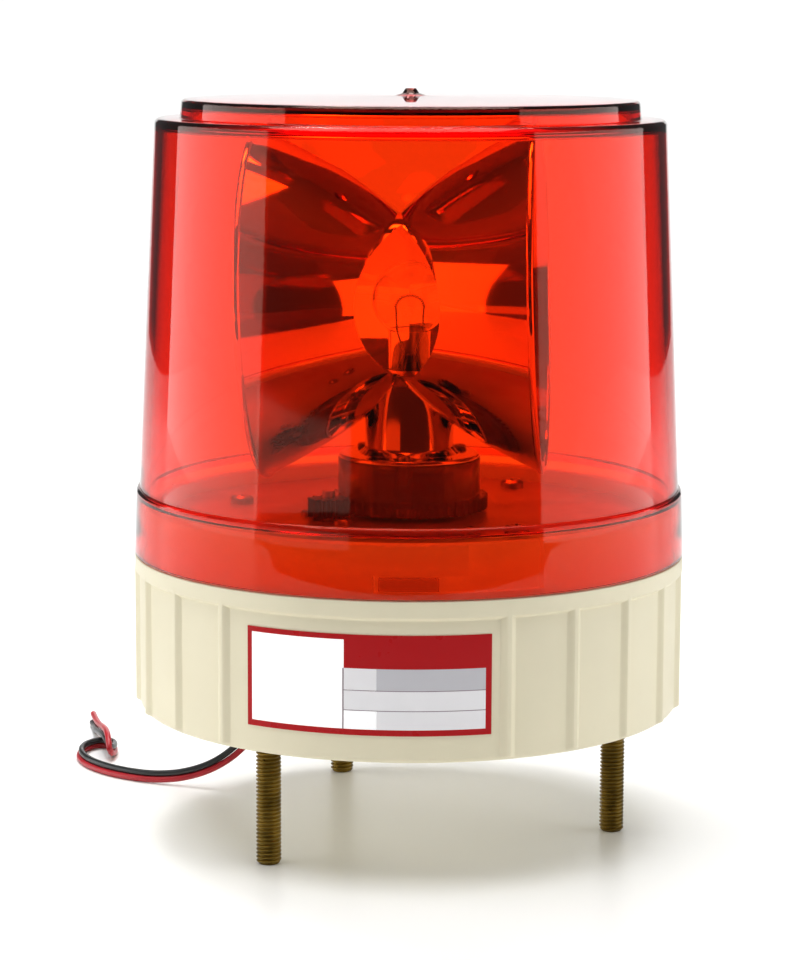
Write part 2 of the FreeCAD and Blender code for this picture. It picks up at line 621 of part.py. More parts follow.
cap_body = revolved("cap_body", [
    (0, 136.0), (q("cap_shell_r") - 1.0, 136.0), (q("cap_shell_r"), 137.0),
    (q("cap_shell_r"), 151.6), (7.0, 151.6), (7.0, 150.1), (6.5, 150.1), (6.5, 138.0), (0, 138.0)])
pins = []
for s in (1, -1):
    pin = doc.addObject("Part::Cylinder", "cap_pin_%s" % ("a" if s > 0 else "b"))
    pin.Radius = 1.0
    pin.Height = 1.75
    pin.Placement = FreeCAD.Placement(V(0, s * 6.65, 142.3), FreeCAD.Rotation(V(1, 0, 0), -90.0 * s))
    pins.append(pin)
node("bulb_cap", fuse("cap_sum", [cap_body] + pins))
node("bulb_contact", cylinder("cap_contact", 2.2, 135.0, 136.0))

coil = doc.addObject("Part::Torus", "coil_arc")
coil.Radius1 = 4.5
coil.Radius2 = 0.55
coil.Angle3 = 180.0
coil.Placement = FreeCAD.Placement(V(0, 0, FZ - 2.6), FreeCAD.Rotation(V(1, 0, 0), 90))
legs = [cylinder("coil_leg_%d" % k, 0.45, 156.5, FZ - 2.5, 4.5 * s, 0) for k, s in enumerate((1, -1))]
stem = doc.addObject("Part::Cone", "glass_stem")
stem.Radius1, stem.Radius2, stem.Height = 5.6, 5.0, 18.6
stem.Placement = FreeCAD.Placement(V(0, 0, 138.0), FreeCAD.Rotation())
node("bulb_filament", fuse("filament_sum", [coil, stem] + legs))

# socket shell with two J slots for the cap's pins
shell = revolved("socket_body", [
    (5.0, q("socket_floor_z")), (8.5, q("socket_floor_z")), (8.5, 149.6), (7.75, 149.6),
    (7.75, q("socket_floor_z") + 0.8), (5.0, q("socket_floor_z") + 0.8)])
jslots = []
for k, a in enumerate((90.0, 270.0)):
    jslots.append(sector("jslot_run_%d" % k, 7.0, 9.5, 140.9, 143.7, a - 10.5, 45.5))
    jslots.append(sector("jslot_entry_%d" % k, 7.0, 9.5, 140.9, 151.0, a + 14.5, 20.5))
node("lamp_socket", cut("socket_cut", shell, jslots))
node("socket_insulator", cut("insulator_cut",
                             cylinder("insulator_disc", 7.6, q("socket_floor_z") + 0.8, 131.0),
                             cylinder("insulator_bore", 1.7, 127.0, 132.0)))
node("socket_contact", revolved("contact_body", [
    (0, 126.0), (1.6, 126.0), (1.6, 131.0), (2.6, 131.0), (2.6, 132.0), (1.8, 132.0),
    (1.8, 134.4), (1.2, 134.95), (0, 134.95)]))

# ---------------------------------------------------------------- screws of the flange
node("reflector_screws", pan_screws("flange_screw", FLANGE_SPOTS, 2.1, 1.5, 1.1, 8.0, q("drum_top_z") + 1.4, 0.5))

# ---------------------------------------------------------------- terminals
tb = doc.addObject("Part::Box", "terminal_box")
tb.Length, tb.Width, tb.Height = 16.0, 22.0, 12.0
tb.Placement = FreeCAD.Placement(V(TERMINAL[0] - 8, TERMINAL[1] - 11, 90.5), FreeCAD.Rotation())
tb_hole = cylinder("terminal_hole", 1.5, 92.0, 104.0, n(TERMINAL[0]), n(TERMINAL[1]))
notches = []
for k, s in enumerate((-1, 1)):
    b = doc.addObject("Part::Box", "terminal_notch_%d" % k)
    b.Length, b.Width, b.Height = 17.0, 5.0, 5.0
    b.Placement = FreeCAD.Placement(V(TERMINAL[0] - 8.5, TERMINAL[1] - 2.5 + s * 11, 89.5), FreeCAD.Rotation())
    notches.append(b)
node("terminal_block", cut("terminal_cut", tb, [tb_hole] + notches))
node("terminal_screw", pan_screws("terminal_fix", [TERMINAL], 2.9, 2.1, 1.45, 9.0, q("plate_z"), 0.7))

# ---------------------------------------------------------------- cable entry
node("cable_grommet", revolved("grommet_body", [
    (0, z_under - 1.6), (6.6, z_under - 1.6), (7.0, z_under - 1.2), (7.0, z_under), (4.95, z_under),
    (4.95, z_floor), (7.0, z_floor), (7.0, z_floor + 1.2), (6.4, z_floor + 1.6), (0, z_floor + 1.6)]))
NODES["cable_grommet"].Placement = FreeCAD.Placement(V(CABLE[0], CABLE[1], 0), FreeCAD.Rotation())


def tube_path(points):
    """Straight runs joined by tangent arcs; prints each bend radius."""
    pts = [V(*p) for p in points]
    runs = [(pts[i + 1] - pts[i]).Length for i in range(len(pts) - 1)]
    edges, here, radii = [], pts[0], []
    for i in range(1, len(pts) - 1):
        u = (pts[i] - pts[i - 1]).normalize()
        w = (pts[i + 1] - pts[i]).normalize()
        turn = math.acos(max(-1.0, min(1.0, u.dot(w))))
        if turn < 1e-4:
            continue
        back = 0.45 * min(runs[i - 1], runs[i])
        radius = back / math.tan(turn / 2)
        radii.append(radius)
        a = pts[i] - u * back
        b = pts[i] + w * back
        bis = (w - u).normalize()
        centre = pts[i] + bis * (radius / math.cos(turn / 2))
        m = centre + (pts[i] - centre).normalize() * radius
        edges.append(Part.LineSegment(here, a).toShape())
        edges.append(Part.Arc(a, m, b).toShape())
        here = b
    edges.append(Part.LineSegment(here, pts[-1]).toShape())
    return Part.Wire(edges), radii


def tube(points, r):
    path, radii = tube_path(points)
    start = V(*points[0])
    along = (V(*points[1]) - start).normalize()
    ring = Part.Wire([Part.Circle(start, along, r).toShape()])
    solid = path.makePipeShell([ring], True, False)
    expect = math.pi * r * r * path.Length
    if abs(solid.Volume - expect) > 0.02 * expect:
        raise RuntimeError("tube volume %.1f, expected %.1f" % (solid.Volume, expect))
    return solid, path.Length, radii


# centre line of the twin lead and the side that the black wire is on
z0 = z_under.v - 1.6
zc = 2.26
TWIN = [
    ((-50.0, 38.0, z0), (-1, 0, 0)),
    ((-50.0, 38.0, 31.5), (-1, 0, 0)),
    ((-52.4, 38.1, 22.6), (-0.9, 0, 0.42)),
    ((-58.3, 38.6, 14.4), (-0.7, 0, 0.7)),
    ((-67.0, 39.5, 8.0), (-0.45, 0.05, 0.88)),
    ((-77.5, 41.4, 4.0), (-0.2, 0.15, 0.95)),
    ((-88.5, 44.8, zc + 0.15), (0.0, 0.3, 0.94)),
    ((-99.0, 50.2, zc), (0.12, 0.32, 0.94)),
    ((-108.0, 57.8, zc), (0.22, 0.25, 0.94)),
    ((-114.6, 67.2, zc), (0.3, 0.15, 0.94)),
    ((-118.2, 77.8, zc), (0.33, 0.02, 0.94)),
    ((-118.0, 88.0, zc), (0.3, -0.1, 0.95)),
    ((-113.4, 95.0, zc), (0.12, -0.25, 0.95)),
    ((-107.6, 93.6, zc), (-0.1, -0.15, 0.98)),
    ((-106.2, 87.0, zc + 0.05), (-0.03, 0.0, 1.0)),
    ((-106.4, 80.0, 3.1), (0.0, 0.35, 0.94)),
    ((-106.8, 75.4, 7.2), (0.0, 0.94, 0.2)),
    ((-107.4, 80.2, 11.3), (0.0, 0.35, -0.94)),
    ((-108.8, 90.0, 11.2), (0.0, -0.12, -0.99)),
    ((-111.0, 101.5, 8.4), (0.0, -0.25, -0.97)),
    ((-113.6, 113.0, 4.9), (0.0, -0.2, -0.98)),
    ((-116.4, 124.0, zc + 0.35), (0.0, -0.1, -0.99)),
    ((-119.0, 134.0, zc), (0.0, 0.0, -1.0)),
]


def lead_points(side):
    out = []
    for i, (c, nrm) in enumerate(TWIN):
        along = V(*TWIN[min(i + 1, len(TWIN) - 1)][0]) - V(*TWIN[max(i - 1, 0)][0])
        along.normalize()
        nn = V(*nrm)
        nn = nn - along * nn.dot(along)
        nn.normalize()
        gap = P["lead_gap"] * (1.3 if 14 <= i <= 18 else 1.0)     # the two part a little in the fold
        pnt = V(*c) + nn * (side * gap / 2)
        out.append((round(pnt.x, 2), round(pnt.y, 2), round(max(pnt.z, P["lead_r"] + 0.02), 2)))
    if side < 0:
        out[0] = (CABLE[0] + P["lead_gap"] / 2, CABLE[1], z0)
    else:
        out[0] = (CABLE[0] - P["lead_gap"] / 2, CABLE[1], z0)
    return out


LEADS = {}
for name, side in (("lead_red", -1), ("lead_black", 1)):
    pts = lead_points(side)
    if side > 0:
        pts[-1] = tuple(round(0.55 * a + 0.45 * b, 2) for a, b in zip(pts[-1], pts[-2]))
    solid, length, radii = tube(pts, P["lead_r"])
    LEADS[name] = pts
    node(name, scripted(name + "_tube", solid))
    print(name, "length", round(length, 1), "radii", [round(r, 1) for r in radii])
    print(name, "points", pts)

inner = []
for pts in (
    [(-51.3, 38.0, 46.6), (-51.3, 38.0, 55.0), (-46.0, 31.0, 60.5), (-28.0, 10.0, 58.0), (-4.0, -22.0, 57.0),
     (12.5, -40.0, 62.0), (15.6, -43.0, 76.0), (15.6, -43.0, 90.49)],
    [(-48.7, 38.0, 46.6), (-48.7, 38.0, 52.0), (-40.0, 30.0, 54.5), (-20.0, 12.0, 53.0), (4.0, -16.0, 52.5),
     (20.0, -33.0, 58.0), (23.6, -37.5, 74.0), (23.6, -37.5, 90.49)],
    [(19.6, -29.39, 98.5), (19.6, -23.0, 98.5), (14.0, -15.0, 89.0), (5.5, -5.0, 83.0), (1.6, -0.5, 86.0), (1.4, 0.0, 93.95)],
    [(11.59, -44.0, 98.0), (3.5, -44.0, 98.0), (-5.0, -43.0, 82.0), (-12.0, -36.0, 64.0), (-17.5, -28.0, 57.0),
     (-19.5, -19.0, 58.5), (-19.5, -19.0, 65.98)],
):
    solid, length, radii = tube(pts, 0.8)
    inner.append(scripted("inner_lead_%d" % len(inner), solid))
lead_group = doc.addObject("Part::Compound", "inner_lead_group")
lead_group.Links = inner
node("inner_leads", lead_group)

# ---------------------------------------------------------------- checks and output
doc.recompute()
bad = [o.Name for o in doc.Objects if "Invalid" in o.State or "Error" in o.State]
if bad:
    raise RuntimeError("failed objects: %s" % bad)
os.makedirs("parts", exist_ok=True)
shift = V(P["axis_x"], P["axis_y"], 0)
for name, obj in NODES.items():
    shape = obj.Shape.copy()
    if shape.isNull() or not shape.isValid():
        raise RuntimeError("bad shape: " + name)
    shape.translate(shift)
    shape.exportStep(os.path.join("parts", name + ".step"))
    b = shape.optimalBoundingBox(False)
    print("%-18s solids %d volume %9.1f box %.1f %.1f %.1f  %.1f %.1f %.1f" % (
        name, len(shape.Solids), shape.Volume, b.XMin, b.YMin, b.ZMin, b.XMax, b.YMax, b.ZMax))
print(len(NODES), "nodes")
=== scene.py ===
import math
import bpy
import bmesh
import numpy as np
from mathutils import Matrix, Vector


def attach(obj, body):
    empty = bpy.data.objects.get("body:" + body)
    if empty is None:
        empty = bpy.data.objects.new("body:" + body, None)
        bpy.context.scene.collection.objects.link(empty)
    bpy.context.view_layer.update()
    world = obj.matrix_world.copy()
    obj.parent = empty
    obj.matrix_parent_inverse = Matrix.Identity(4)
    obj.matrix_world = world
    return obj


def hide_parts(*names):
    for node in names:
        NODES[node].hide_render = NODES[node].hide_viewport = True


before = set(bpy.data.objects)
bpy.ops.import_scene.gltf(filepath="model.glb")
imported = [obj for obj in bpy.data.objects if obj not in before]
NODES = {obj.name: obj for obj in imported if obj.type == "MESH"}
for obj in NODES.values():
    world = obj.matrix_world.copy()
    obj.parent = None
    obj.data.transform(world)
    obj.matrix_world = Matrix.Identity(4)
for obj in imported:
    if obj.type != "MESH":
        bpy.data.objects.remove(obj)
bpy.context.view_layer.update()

MM = 0.001


# ------------------------------------------------------------ camera first
def camera():
    f_px, pitch, dist, height, yaw, roll = 3007.2, 9.005, 975.28, 269.31, 0.175, 0.235
    cam = bpy.data.cameras.new("camera")
    cam.sensor_fit = "HORIZONTAL"
    cam.sensor_width = 36.0
    cam.lens = f_px / 800.0 * 36.0
    cam.clip_start = 0.05
    cam.clip_end = 50.0
    ob = bpy.data.objects.new("camera", cam)
    rot = (Matrix.Rotation(math.radians(yaw), 4, "Z")
           @ Matrix.Rotation(math.radians(90.0 - pitch), 4, "X")
           @ Matrix.Rotation(math.radians(roll), 4, "Z"))
    ob.matrix_world = Matrix.Translation((0, -dist * MM, height * MM)) @ rot
    bpy.context.scene.collection.objects.link(ob)
    bpy.context.scene.camera = ob


camera()


# ------------------------------------------------------------ mesh helpers
def link(ob):
    bpy.context.scene.collection.objects.link(ob)
    return ob


def mark_sharp(me, angle=32.0):
    """Smooth shading, with every edge sharper than the angle kept crisp."""
    bm = bmesh.new()
    bm.from_mesh(me)
    lim = math.radians(angle)
    for f in bm.faces:
        f.smooth = True
    for e in bm.edges:
        if len(e.link_faces) == 2:
            e.smooth = e.calc_face_angle(0.0) < lim
    bm.to_mesh(me)
    bm.free()


def make(name, verts, faces, mat, body, replaces=(), sharp=32.0, mats=None, mat_index=None):
    me = bpy.data.meshes.new(name)
    me.from_pydata([tuple(v) for v in verts], [], faces)
    for m in (mats or [mat]):
        me.materials.append(m)
    if mat_index is not None:
        for p, i in zip(me.polygons, mat_index):
            p.material_index = i
    me.validate()
    bm = bmesh.new()
    bm.from_mesh(me)
    bmesh.ops.recalc_face_normals(bm, faces=bm.faces)
    bm.to_mesh(me)
    bm.free()
    mark_sharp(me, sharp)
    ob = link(bpy.data.objects.new(name, me))
    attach(ob, body)
    if replaces:
        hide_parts(*replaces)
    return ob


def rounded(pts, closed=True):
    """pts are (r, z, fillet radius); each corner becomes a small arc."""
    out = []
    m = len(pts)
    for i, (x, y, rad) in enumerate(pts):
        p = Vector((x, y))
        if rad <= 0 or (not closed and i in (0, m - 1)):
            out.append((x, y))
            continue
        a = Vector(pts[i - 1][:2]) - p
        b = Vector(pts[(i + 1) % m][:2]) - p
        la, lb = a.length, b.length
        a.normalize()
        b.normalize()
        cosv = max(-1.0, min(1.0, a.dot(b)))
        ang = math.acos(cosv)
        if ang > math.pi - 1e-3:
            out.append((x, y))
            continue
        back = min(rad / math.tan(ang / 2), 0.45 * la, 0.45 * lb)
        r = back * math.tan(ang / 2)
        c = p + (a + b).normalized() * (r / math.sin(ang / 2))
        s, e = p + a * back, p + b * back
        a0 = math.atan2(s.y - c.y, s.x - c.x)
        a1 = math.atan2(e.y - c.y, e.x - c.x)
        d = (a1 - a0 + math.pi) % (2 * math.pi) - math.pi
        k = max(3, int(abs(d) / math.radians(11)))
        for j in range(k + 1):
            t = a0 + d * j / k
            out.append((c.x + r * math.cos(t), c.y + r * math.sin(t)))
    return out


def lathe_mesh(profile, segments=192, at=(0, 0), thetas=None):
    """Closed outline (r, z) in mm turned about +Z; points on the axis become one vertex."""
    if thetas is None:
        thetas = [2 * math.pi * i / segments for i in range(segments)]
    n = len(thetas)
    verts, faces, rows = [], [], []
    for r, z in profile:
        if abs(r) < 1e-6:
            rows.append([len(verts)] * n)
            verts.append((at[0] * MM, at[1] * MM, z * MM))
        else:
            rows.append(list(range(len(verts), len(verts) + n)))
            verts += [((at[0] + r * math.cos(t)) * MM, (at[1] + r * math.sin(t)) * MM, z * MM) for t in thetas]
    m = len(rows)
    for i in range(m):
        a, b = rows[i], rows[(i + 1) % m]
        if a[0] == a[-1] and b[0] == b[-1]:
            continue
        for j in range(n):
            k = (j + 1) % n
            ring = []
            for v in (a[j], a[k], b[k], b[j]):
                if v not in ring:
                    ring.append(v)
            if len(ring) >= 3:
                faces.append(ring)
    return verts, faces


def lathe(name, pts, mat, body, replaces=(), segments=192, at=(0, 0), sharp=32.0):
    v, f = lathe_mesh(rounded(pts), segments, at)
    return make(name, v, f, mat, body, replaces, sharp)


def join_parts(parts):
    verts, faces = [], []
    for v, f in parts:
        o = len(verts)
        verts += list(v)
        faces += [[i + o for i in q] for q in f]
    return verts, faces


def sector_mesh(r0, r1, z0, z1, a0, a1, steps=12, ch=0.0):
    """Closed ring sector between two angles in degrees."""
    verts, faces = [], []
    for i in range(steps + 1):
        t = math.radians(a0 + (a1 - a0) * i / steps)
        for r, z in ((r0, z0), (r1, z0), (r1, z1), (r0, z1)):
            verts.append((r * math.cos(t) * MM, r * math.sin(t) * MM, z * MM))
    for i in range(steps):
        o = 4 * i
        for k in range(4):
            l = (k + 1) % 4
            faces.append([o + k, o + l, o + 4 + l, o + 4 + k])
    faces.append([0, 1, 2, 3])
    o = 4 * steps
    faces.append([o + 3, o + 2, o + 1, o])
    return verts, faces


# ------------------------------------------------------------ materials
def lin(rgb):
    """Display colour 0-255 to linear."""
    out = []
    for c in rgb:
        c = c / 255.0
        out.append(c / 12.92 if c <= 0.04045 else ((c + 0.055) / 1.055) ** 2.4)
    return (out[0], out[1], out[2], 1.0)


class Mat:
    """A Principled material with a few procedural helpers."""

    def __init__(self, name, color, rough=0.5, metallic=0.0, **sockets):
        self.m = bpy.data.materials.new(name)
        self.m.use_nodes = True
        self.nt = self.m.node_tree
        self.b = self.nt.nodes["Principled BSDF"]
        self.out = self.nt.nodes["Material Output"]
        self.b.inputs["Base Color"].default_value = color
        self.b.inputs["Roughness"].default_value = rough
        self.b.inputs["Metallic"].default_value = metallic
        for k, v in sockets.items():
            self.b.inputs[k.replace("_", " ")].default_value = v
        self.coord = self.nt.nodes.new("ShaderNodeTexCoord")

    def node(self, kind, **props):
        n = self.nt.nodes.new(kind)
        for k, v in props.items():
            setattr(n, k, v)
        return n

    def noise(self, scale, detail=4.0, rough=0.55, stretch=None):
        n = self.node("ShaderNodeTexNoise")
        n.inputs["Scale"].default_value = scale
        n.inputs["Detail"].default_value = detail
        n.inputs["Roughness"].default_value = rough
        if stretch:
            mp = self.node("ShaderNodeMapping")
            mp.inputs["Scale"].default_value = stretch
            self.nt.links.new(self.coord.outputs["Object"], mp.inputs["Vector"])
            self.nt.links.new(mp.outputs["Vector"], n.inputs["Vector"])
        else:
            self.nt.links.new(self.coord.outputs["Object"], n.inputs["Vector"])
        return n.outputs["Fac"]

    def ramp(self, fac, stops):
        r = self.node("ShaderNodeValToRGB")
        els = r.color_ramp.elements
        while len(els) < len(stops):
            els.new(0.5)
        for e, (p, c) in zip(els, stops):
            e.position = p
            e.color = c if len(c) == 4 else (c[0], c[1], c[2], 1.0)
        self.nt.links.new(fac, r.inputs["Fac"])
        return r.outputs["Color"]

    def vary_color(self, color, scale, amount=0.08, **k):
        lo = tuple(max(0.0, c * (1 - amount)) for c in color[:3]) + (1.0,)
        hi = tuple(min(1.0, c * (1 + amount)) for c in color[:3]) + (1.0,)
        self.nt.links.new(self.ramp(self.noise(scale, **k), [(0.3, lo), (0.7, hi)]), self.b.inputs["Base Color"])
        return self

    def vary_rough(self, lo, hi, scale, **k):
        r = self.ramp(self.noise(scale, **k), [(0.25, (lo, lo, lo, 1)), (0.75, (hi, hi, hi, 1))])
        self.nt.links.new(r, self.b.inputs["Roughness"])
        return self

    def bump(self, scale, strength=0.1, distance=0.0002, **k):
        bp = self.node("ShaderNodeBump")
        bp.inputs["Strength"].default_value = strength
        bp.inputs["Distance"].default_value = distance
        self.nt.links.new(self.noise(scale, **k), bp.inputs["Height"])
        prev = self.b.inputs["Normal"]
        if prev.is_linked:
            self.nt.links.new(prev.links[0].from_socket, bp.inputs["Normal"])
        self.nt.links.new(bp.outputs["Normal"], self.b.inputs["Normal"])
        return self


IVORY = Mat("ivory_plastic", (0.80, 0.72, 0.48, 1), 0.42, Specular_IOR_Level=0.45,
            Subsurface_Weight=0.0)
IVORY.vary_color((0.785, 0.725, 0.525, 1), 22.0, 0.03).vary_rough(0.34, 0.5, 60.0)
IVORY.bump(900.0, 0.08, 0.00008).bump(45.0, 0.10, 0.0003)


# Lit copy of the ivory for the neck under the dome: a brighter base colour and a faint red-orange emission, painted
# light standing in for light reaching it through the red cover
NECK_PAINTED_GLOW = Mat("ivory_neck_painted_glow", (0.95, 0.93, 0.88, 1), 0.5)
NECK_PAINTED_GLOW.vary_color((0.95, 0.93, 0.88, 1), 22.0, 0.02).bump(45.0, 0.08, 0.0003)
NECK_PAINTED_GLOW.b.inputs["Emission Color"].default_value = (1.0, 0.22, 0.08, 1)
NECK_PAINTED_GLOW.b.inputs["Emission Strength"].default_value = 0.22


def red_clear(name, density, color, rough=0.02):
    m = Mat(name, (1, 1, 1, 1), rough, IOR=1.49, Transmission_Weight=1.0, Specular_IOR_Level=0.36)
    m.b.inputs["Specular Tint"].default_value = (1.0, 0.55, 0.42, 1)
    m.vary_rough(rough, rough + 0.03, 30.0)
    m.bump(14.0, 0.05, 0.0006)
    ab = m.node("ShaderNodeVolumeAbsorption")
    ab.inputs["Color"].default_value = color
    ab.inputs["Density"].default_value = density
    m.nt.links.new(ab.outputs["Volume"], m.out.inputs["Volume"])
    return m


RED_CLEAR = red_clear("red_clear_acrylic", 1300.0, (0.992, 0.53, 0.06, 1))

RED_PALE = red_clear("red_clear_lugs", 220.0, (0.992, 0.53, 0.06, 1), 0.06)

CHROME = Mat("metallised_mirror", (0.88, 0.87, 0.86, 1), 0.035, 1.0)
CHROME.vary_rough(0.02, 0.07, 35.0).bump(26.0, 0.10, 0.0004)
SMOKE = Mat("smoke_plastic", (0.86, 0.78, 0.76, 1), 0.1, IOR=1.49, Transmission_Weight=0.86)
SMOKE.vary_rough(0.08, 0.2, 70.0).bump(240.0, 0.06, 0.0001)
PLATE = Mat("chassis_zinc", (0.72, 0.71, 0.70, 1), 0.42, 0.55)
PLATE.vary_color((0.72, 0.71, 0.70, 1), 35.0, 0.08).vary_rough(0.3, 0.5, 80.0).bump(700.0, 0.12, 0.0001)
STUD = Mat("passivated_thread", (0.22, 0.15, 0.035, 1), 0.34, 1.0)
STUD.vary_color((0.22, 0.145, 0.03, 1), 110.0, 0.35).vary_rough(0.25, 0.5, 160.0).bump(800.0, 0.15, 0.00006)
STEEL = Mat("zinc_steel", (0.56, 0.56, 0.57, 1), 0.3, 1.0)
STEEL.vary_color((0.56, 0.56, 0.57, 1), 160.0, 0.12).vary_rough(0.22, 0.42, 220.0).bump(1200.0, 0.1, 0.00004)
DARKPL = Mat("black_plastic", (0.02, 0.02, 0.022, 1), 0.4)
DARKPL.vary_color((0.022, 0.022, 0.024, 1), 90.0, 0.3).vary_rough(0.32, 0.5, 120.0).bump(900.0, 0.1, 0.00006)
WHITEPL = Mat("white_plastic", (0.75, 0.74, 0.70, 1), 0.45)
WHITEPL.vary_color((0.75, 0.74, 0.70, 1), 90.0, 0.06).bump(900.0, 0.1, 0.00006)
BRASS = Mat("nickelled_brass", (0.72, 0.62, 0.42, 1), 0.25, 1.0)
BRASS.vary_color((0.72, 0.62, 0.42, 1), 130.0, 0.12).vary_rough(0.18, 0.35, 180.0).bump(900.0, 0.08, 0.00005)
BRONZE = Mat("sintered_bronze", (0.50, 0.33, 0.15, 1), 0.45, 1.0)
BRONZE.vary_color((0.50, 0.33, 0.15, 1), 200.0, 0.25).bump(1500.0, 0.3, 0.00006)
LAMINATE = Mat("brown_laminate", (0.16, 0.07, 0.025, 1), 0.5)
LAMINATE.vary_color((0.16, 0.07, 0.025, 1), 150.0, 0.3).bump(900.0, 0.15, 0.00006)
GLASS = Mat("lamp_glass", (0.97, 0.98, 0.97, 1), 0.01, IOR=1.5, Transmission_Weight=1.0)
GLASS.vary_rough(0.005, 0.02, 60.0)
TUNGSTEN = Mat("tungsten_wire", (0.30, 0.30, 0.31, 1), 0.35, 1.0)
TUNGSTEN.vary_color((0.30, 0.30, 0.31, 1), 900.0, 0.25)
SOLDER = Mat("solder", (0.55, 0.55, 0.57, 1), 0.35, 1.0)
SOLDER.vary_rough(0.25, 0.5, 700.0).bump(900.0, 0.3, 0.0001)
RUBBER = Mat("black_rubber", (0.018, 0.018, 0.018, 1), 0.6)
RUBBER.vary_color((0.02, 0.02, 0.02, 1), 150.0, 0.3).bump(1300.0, 0.2, 0.00006)
SEAL = Mat("seal_rubber", (0.62, 0.58, 0.48, 1), 0.55)
SEAL.vary_color((0.62, 0.58, 0.48, 1), 150.0, 0.08).bump(1300.0, 0.15, 0.00005)
WIRE_RED = Mat("red_insulation", lin((170, 22, 34)), 0.34, Specular_IOR_Level=0.5)
WIRE_RED.vary_color(lin((172, 22, 34)), 120.0, 0.12).vary_rough(0.28, 0.42, 150.0).bump(700.0, 0.08, 0.00006)
WIRE_BLACK = Mat("black_insulation", (0.012, 0.013, 0.013, 1), 0.32, Specular_IOR_Level=0.5)
WIRE_BLACK.vary_color((0.012, 0.013, 0.013, 1), 120.0, 0.2).vary_rough(0.26, 0.4, 150.0).bump(700.0, 0.08, 0.00006)


def print_mat(name, rgb, rough=0.3, vary=0.012):
    m = Mat(name, lin(rgb), rough, Specular_IOR_Level=0.5)
    m.vary_color(lin(rgb), 160.0, vary).vary_rough(rough - 0.06, rough + 0.08, 90.0).bump(500.0, 0.02, 0.00003)
    return m


L_RED = print_mat("label_red", (176, 4, 12), vary=0.01)
L_RED.b.inputs["Specular IOR Level"].default_value = 0.2
L_WHITE_PAINTED_GLOW = print_mat("label_white_painted_glow", (254, 254, 254), vary=0.008)
# faint white emission makes the label's white field glow: painted light
L_WHITE_PAINTED_GLOW.b.inputs["Emission Color"].default_value = (1, 1, 1, 1)
L_WHITE_PAINTED_GLOW.b.inputs["Emission Strength"].default_value = 0.22
# flat grey for the first row's right-hand cells; the rows below use the pale grey
L_GREY_CELL = print_mat("label_grey_cell", (198, 197, 202), 0.34)
L_PALE = print_mat("label_pale", (240, 239, 241), 0.34)
L_RULE = print_mat("label_rule", (128, 108, 116))

# ------------------------------------------------------------ sizes shared with the CAD
FZ, F, HALF, TK = 174.5, 13.3, 45.0, 1.4
TOP_Z, LEAN, OFFSET, TURN = 228.0, 1.8, 2.8, -5.5
WINDOW_SHIFT = 2.4
HUB_TEETH, PIN_TEETH = 50, 12
MOTOR_A = math.radians(213.0)
MOTOR = (31.0 * math.cos(MOTOR_A), 31.0 * math.sin(MOTOR_A))
STUDS = [(68.3 * math.cos(math.radians(110 + 120 * k)), 68.3 * math.sin(math.radians(110 + 120 * k))) for k in range(3)]
POSTS = [(-56.0, 15.0), (36.0, 53.5), (33.8, -40.0)]


# ------------------------------------------------------------ dome
def build_dome():
    t = 2.8
    pts = [(87.2, 92.4, 0.3), (90.0, 92.4, 0.4), (89.2, 112.7, 0.9), (88.6, 113.7, 0.5), (88.1, 113.7, 0.3),
           (82.4, 231.7, 1.0), (81.5, 232.9, 0.9), (74.3, 232.9, 0.5), (73.8, 238.2, 0.6), (73.0, 238.9, 0.5),
           (5.2, 240.1, 0.8), (2.7, 240.9, 0.5), (1.7, 242.4, 0.4), (0, 242.5, 0),
           (0, 240.1 - t, 0), (73.8 - t, 238.9 - t, 1.2), (73.8 - t, 232.9 - t, 0.8), (82.4 - t, 232.9 - t, 1.4),
           (88.1 - t, 113.7 - t, 0.5), (87.2, 113.7 - t, 0.4)]
    prof = rounded(pts)
    # more rows on the long walls keep the shading even
    dense = []
    for i, p in enumerate(prof):
        q = prof[(i + 1) % len(prof)]
        dense.append(p)
        d = math.hypot(q[0] - p[0], q[1] - p[1])
        k = int(d // 9)
        for j in range(1, k + 1):
            dense.append((p[0] + (q[0] - p[0]) * j / (k + 1), p[1] + (q[1] - p[1]) * j / (k + 1)))
    v, f = lathe_mesh(dense, 288)
    make("dome_shell", v, f, RED_CLEAR.m, "dome_cover", ("dome",), 40.0)
    parts = []
    for k in range(3):
        a = 30.0 + 120 * k
        parts.append(sector_mesh(84.35, 87.15, 94.6, 98.4, a - 6, a + 6, 10))
    v, f = join_parts(parts)
    make("dome_lugs", v, f, RED_PALE.m, "dome_cover", (), 30.0)


build_dome()
lathe("seal_ring", [(86.7, 92.0, 0), (88.6, 92.0, 0.1), (88.6, 92.36, 0.1), (86.7, 92.36, 0)], SEAL.m,
      "housing", ("dome_seal",), 160)


# ------------------------------------------------------------ base
def smooth(a, b, x):
    t = min(1.0, max(0.0, (x - a) / (b - a)))
    return t * t * (3 - 2 * t)


RIBS = [math.radians(-90.0 + 20.0 + 15.0 * k) for k in range(21)]


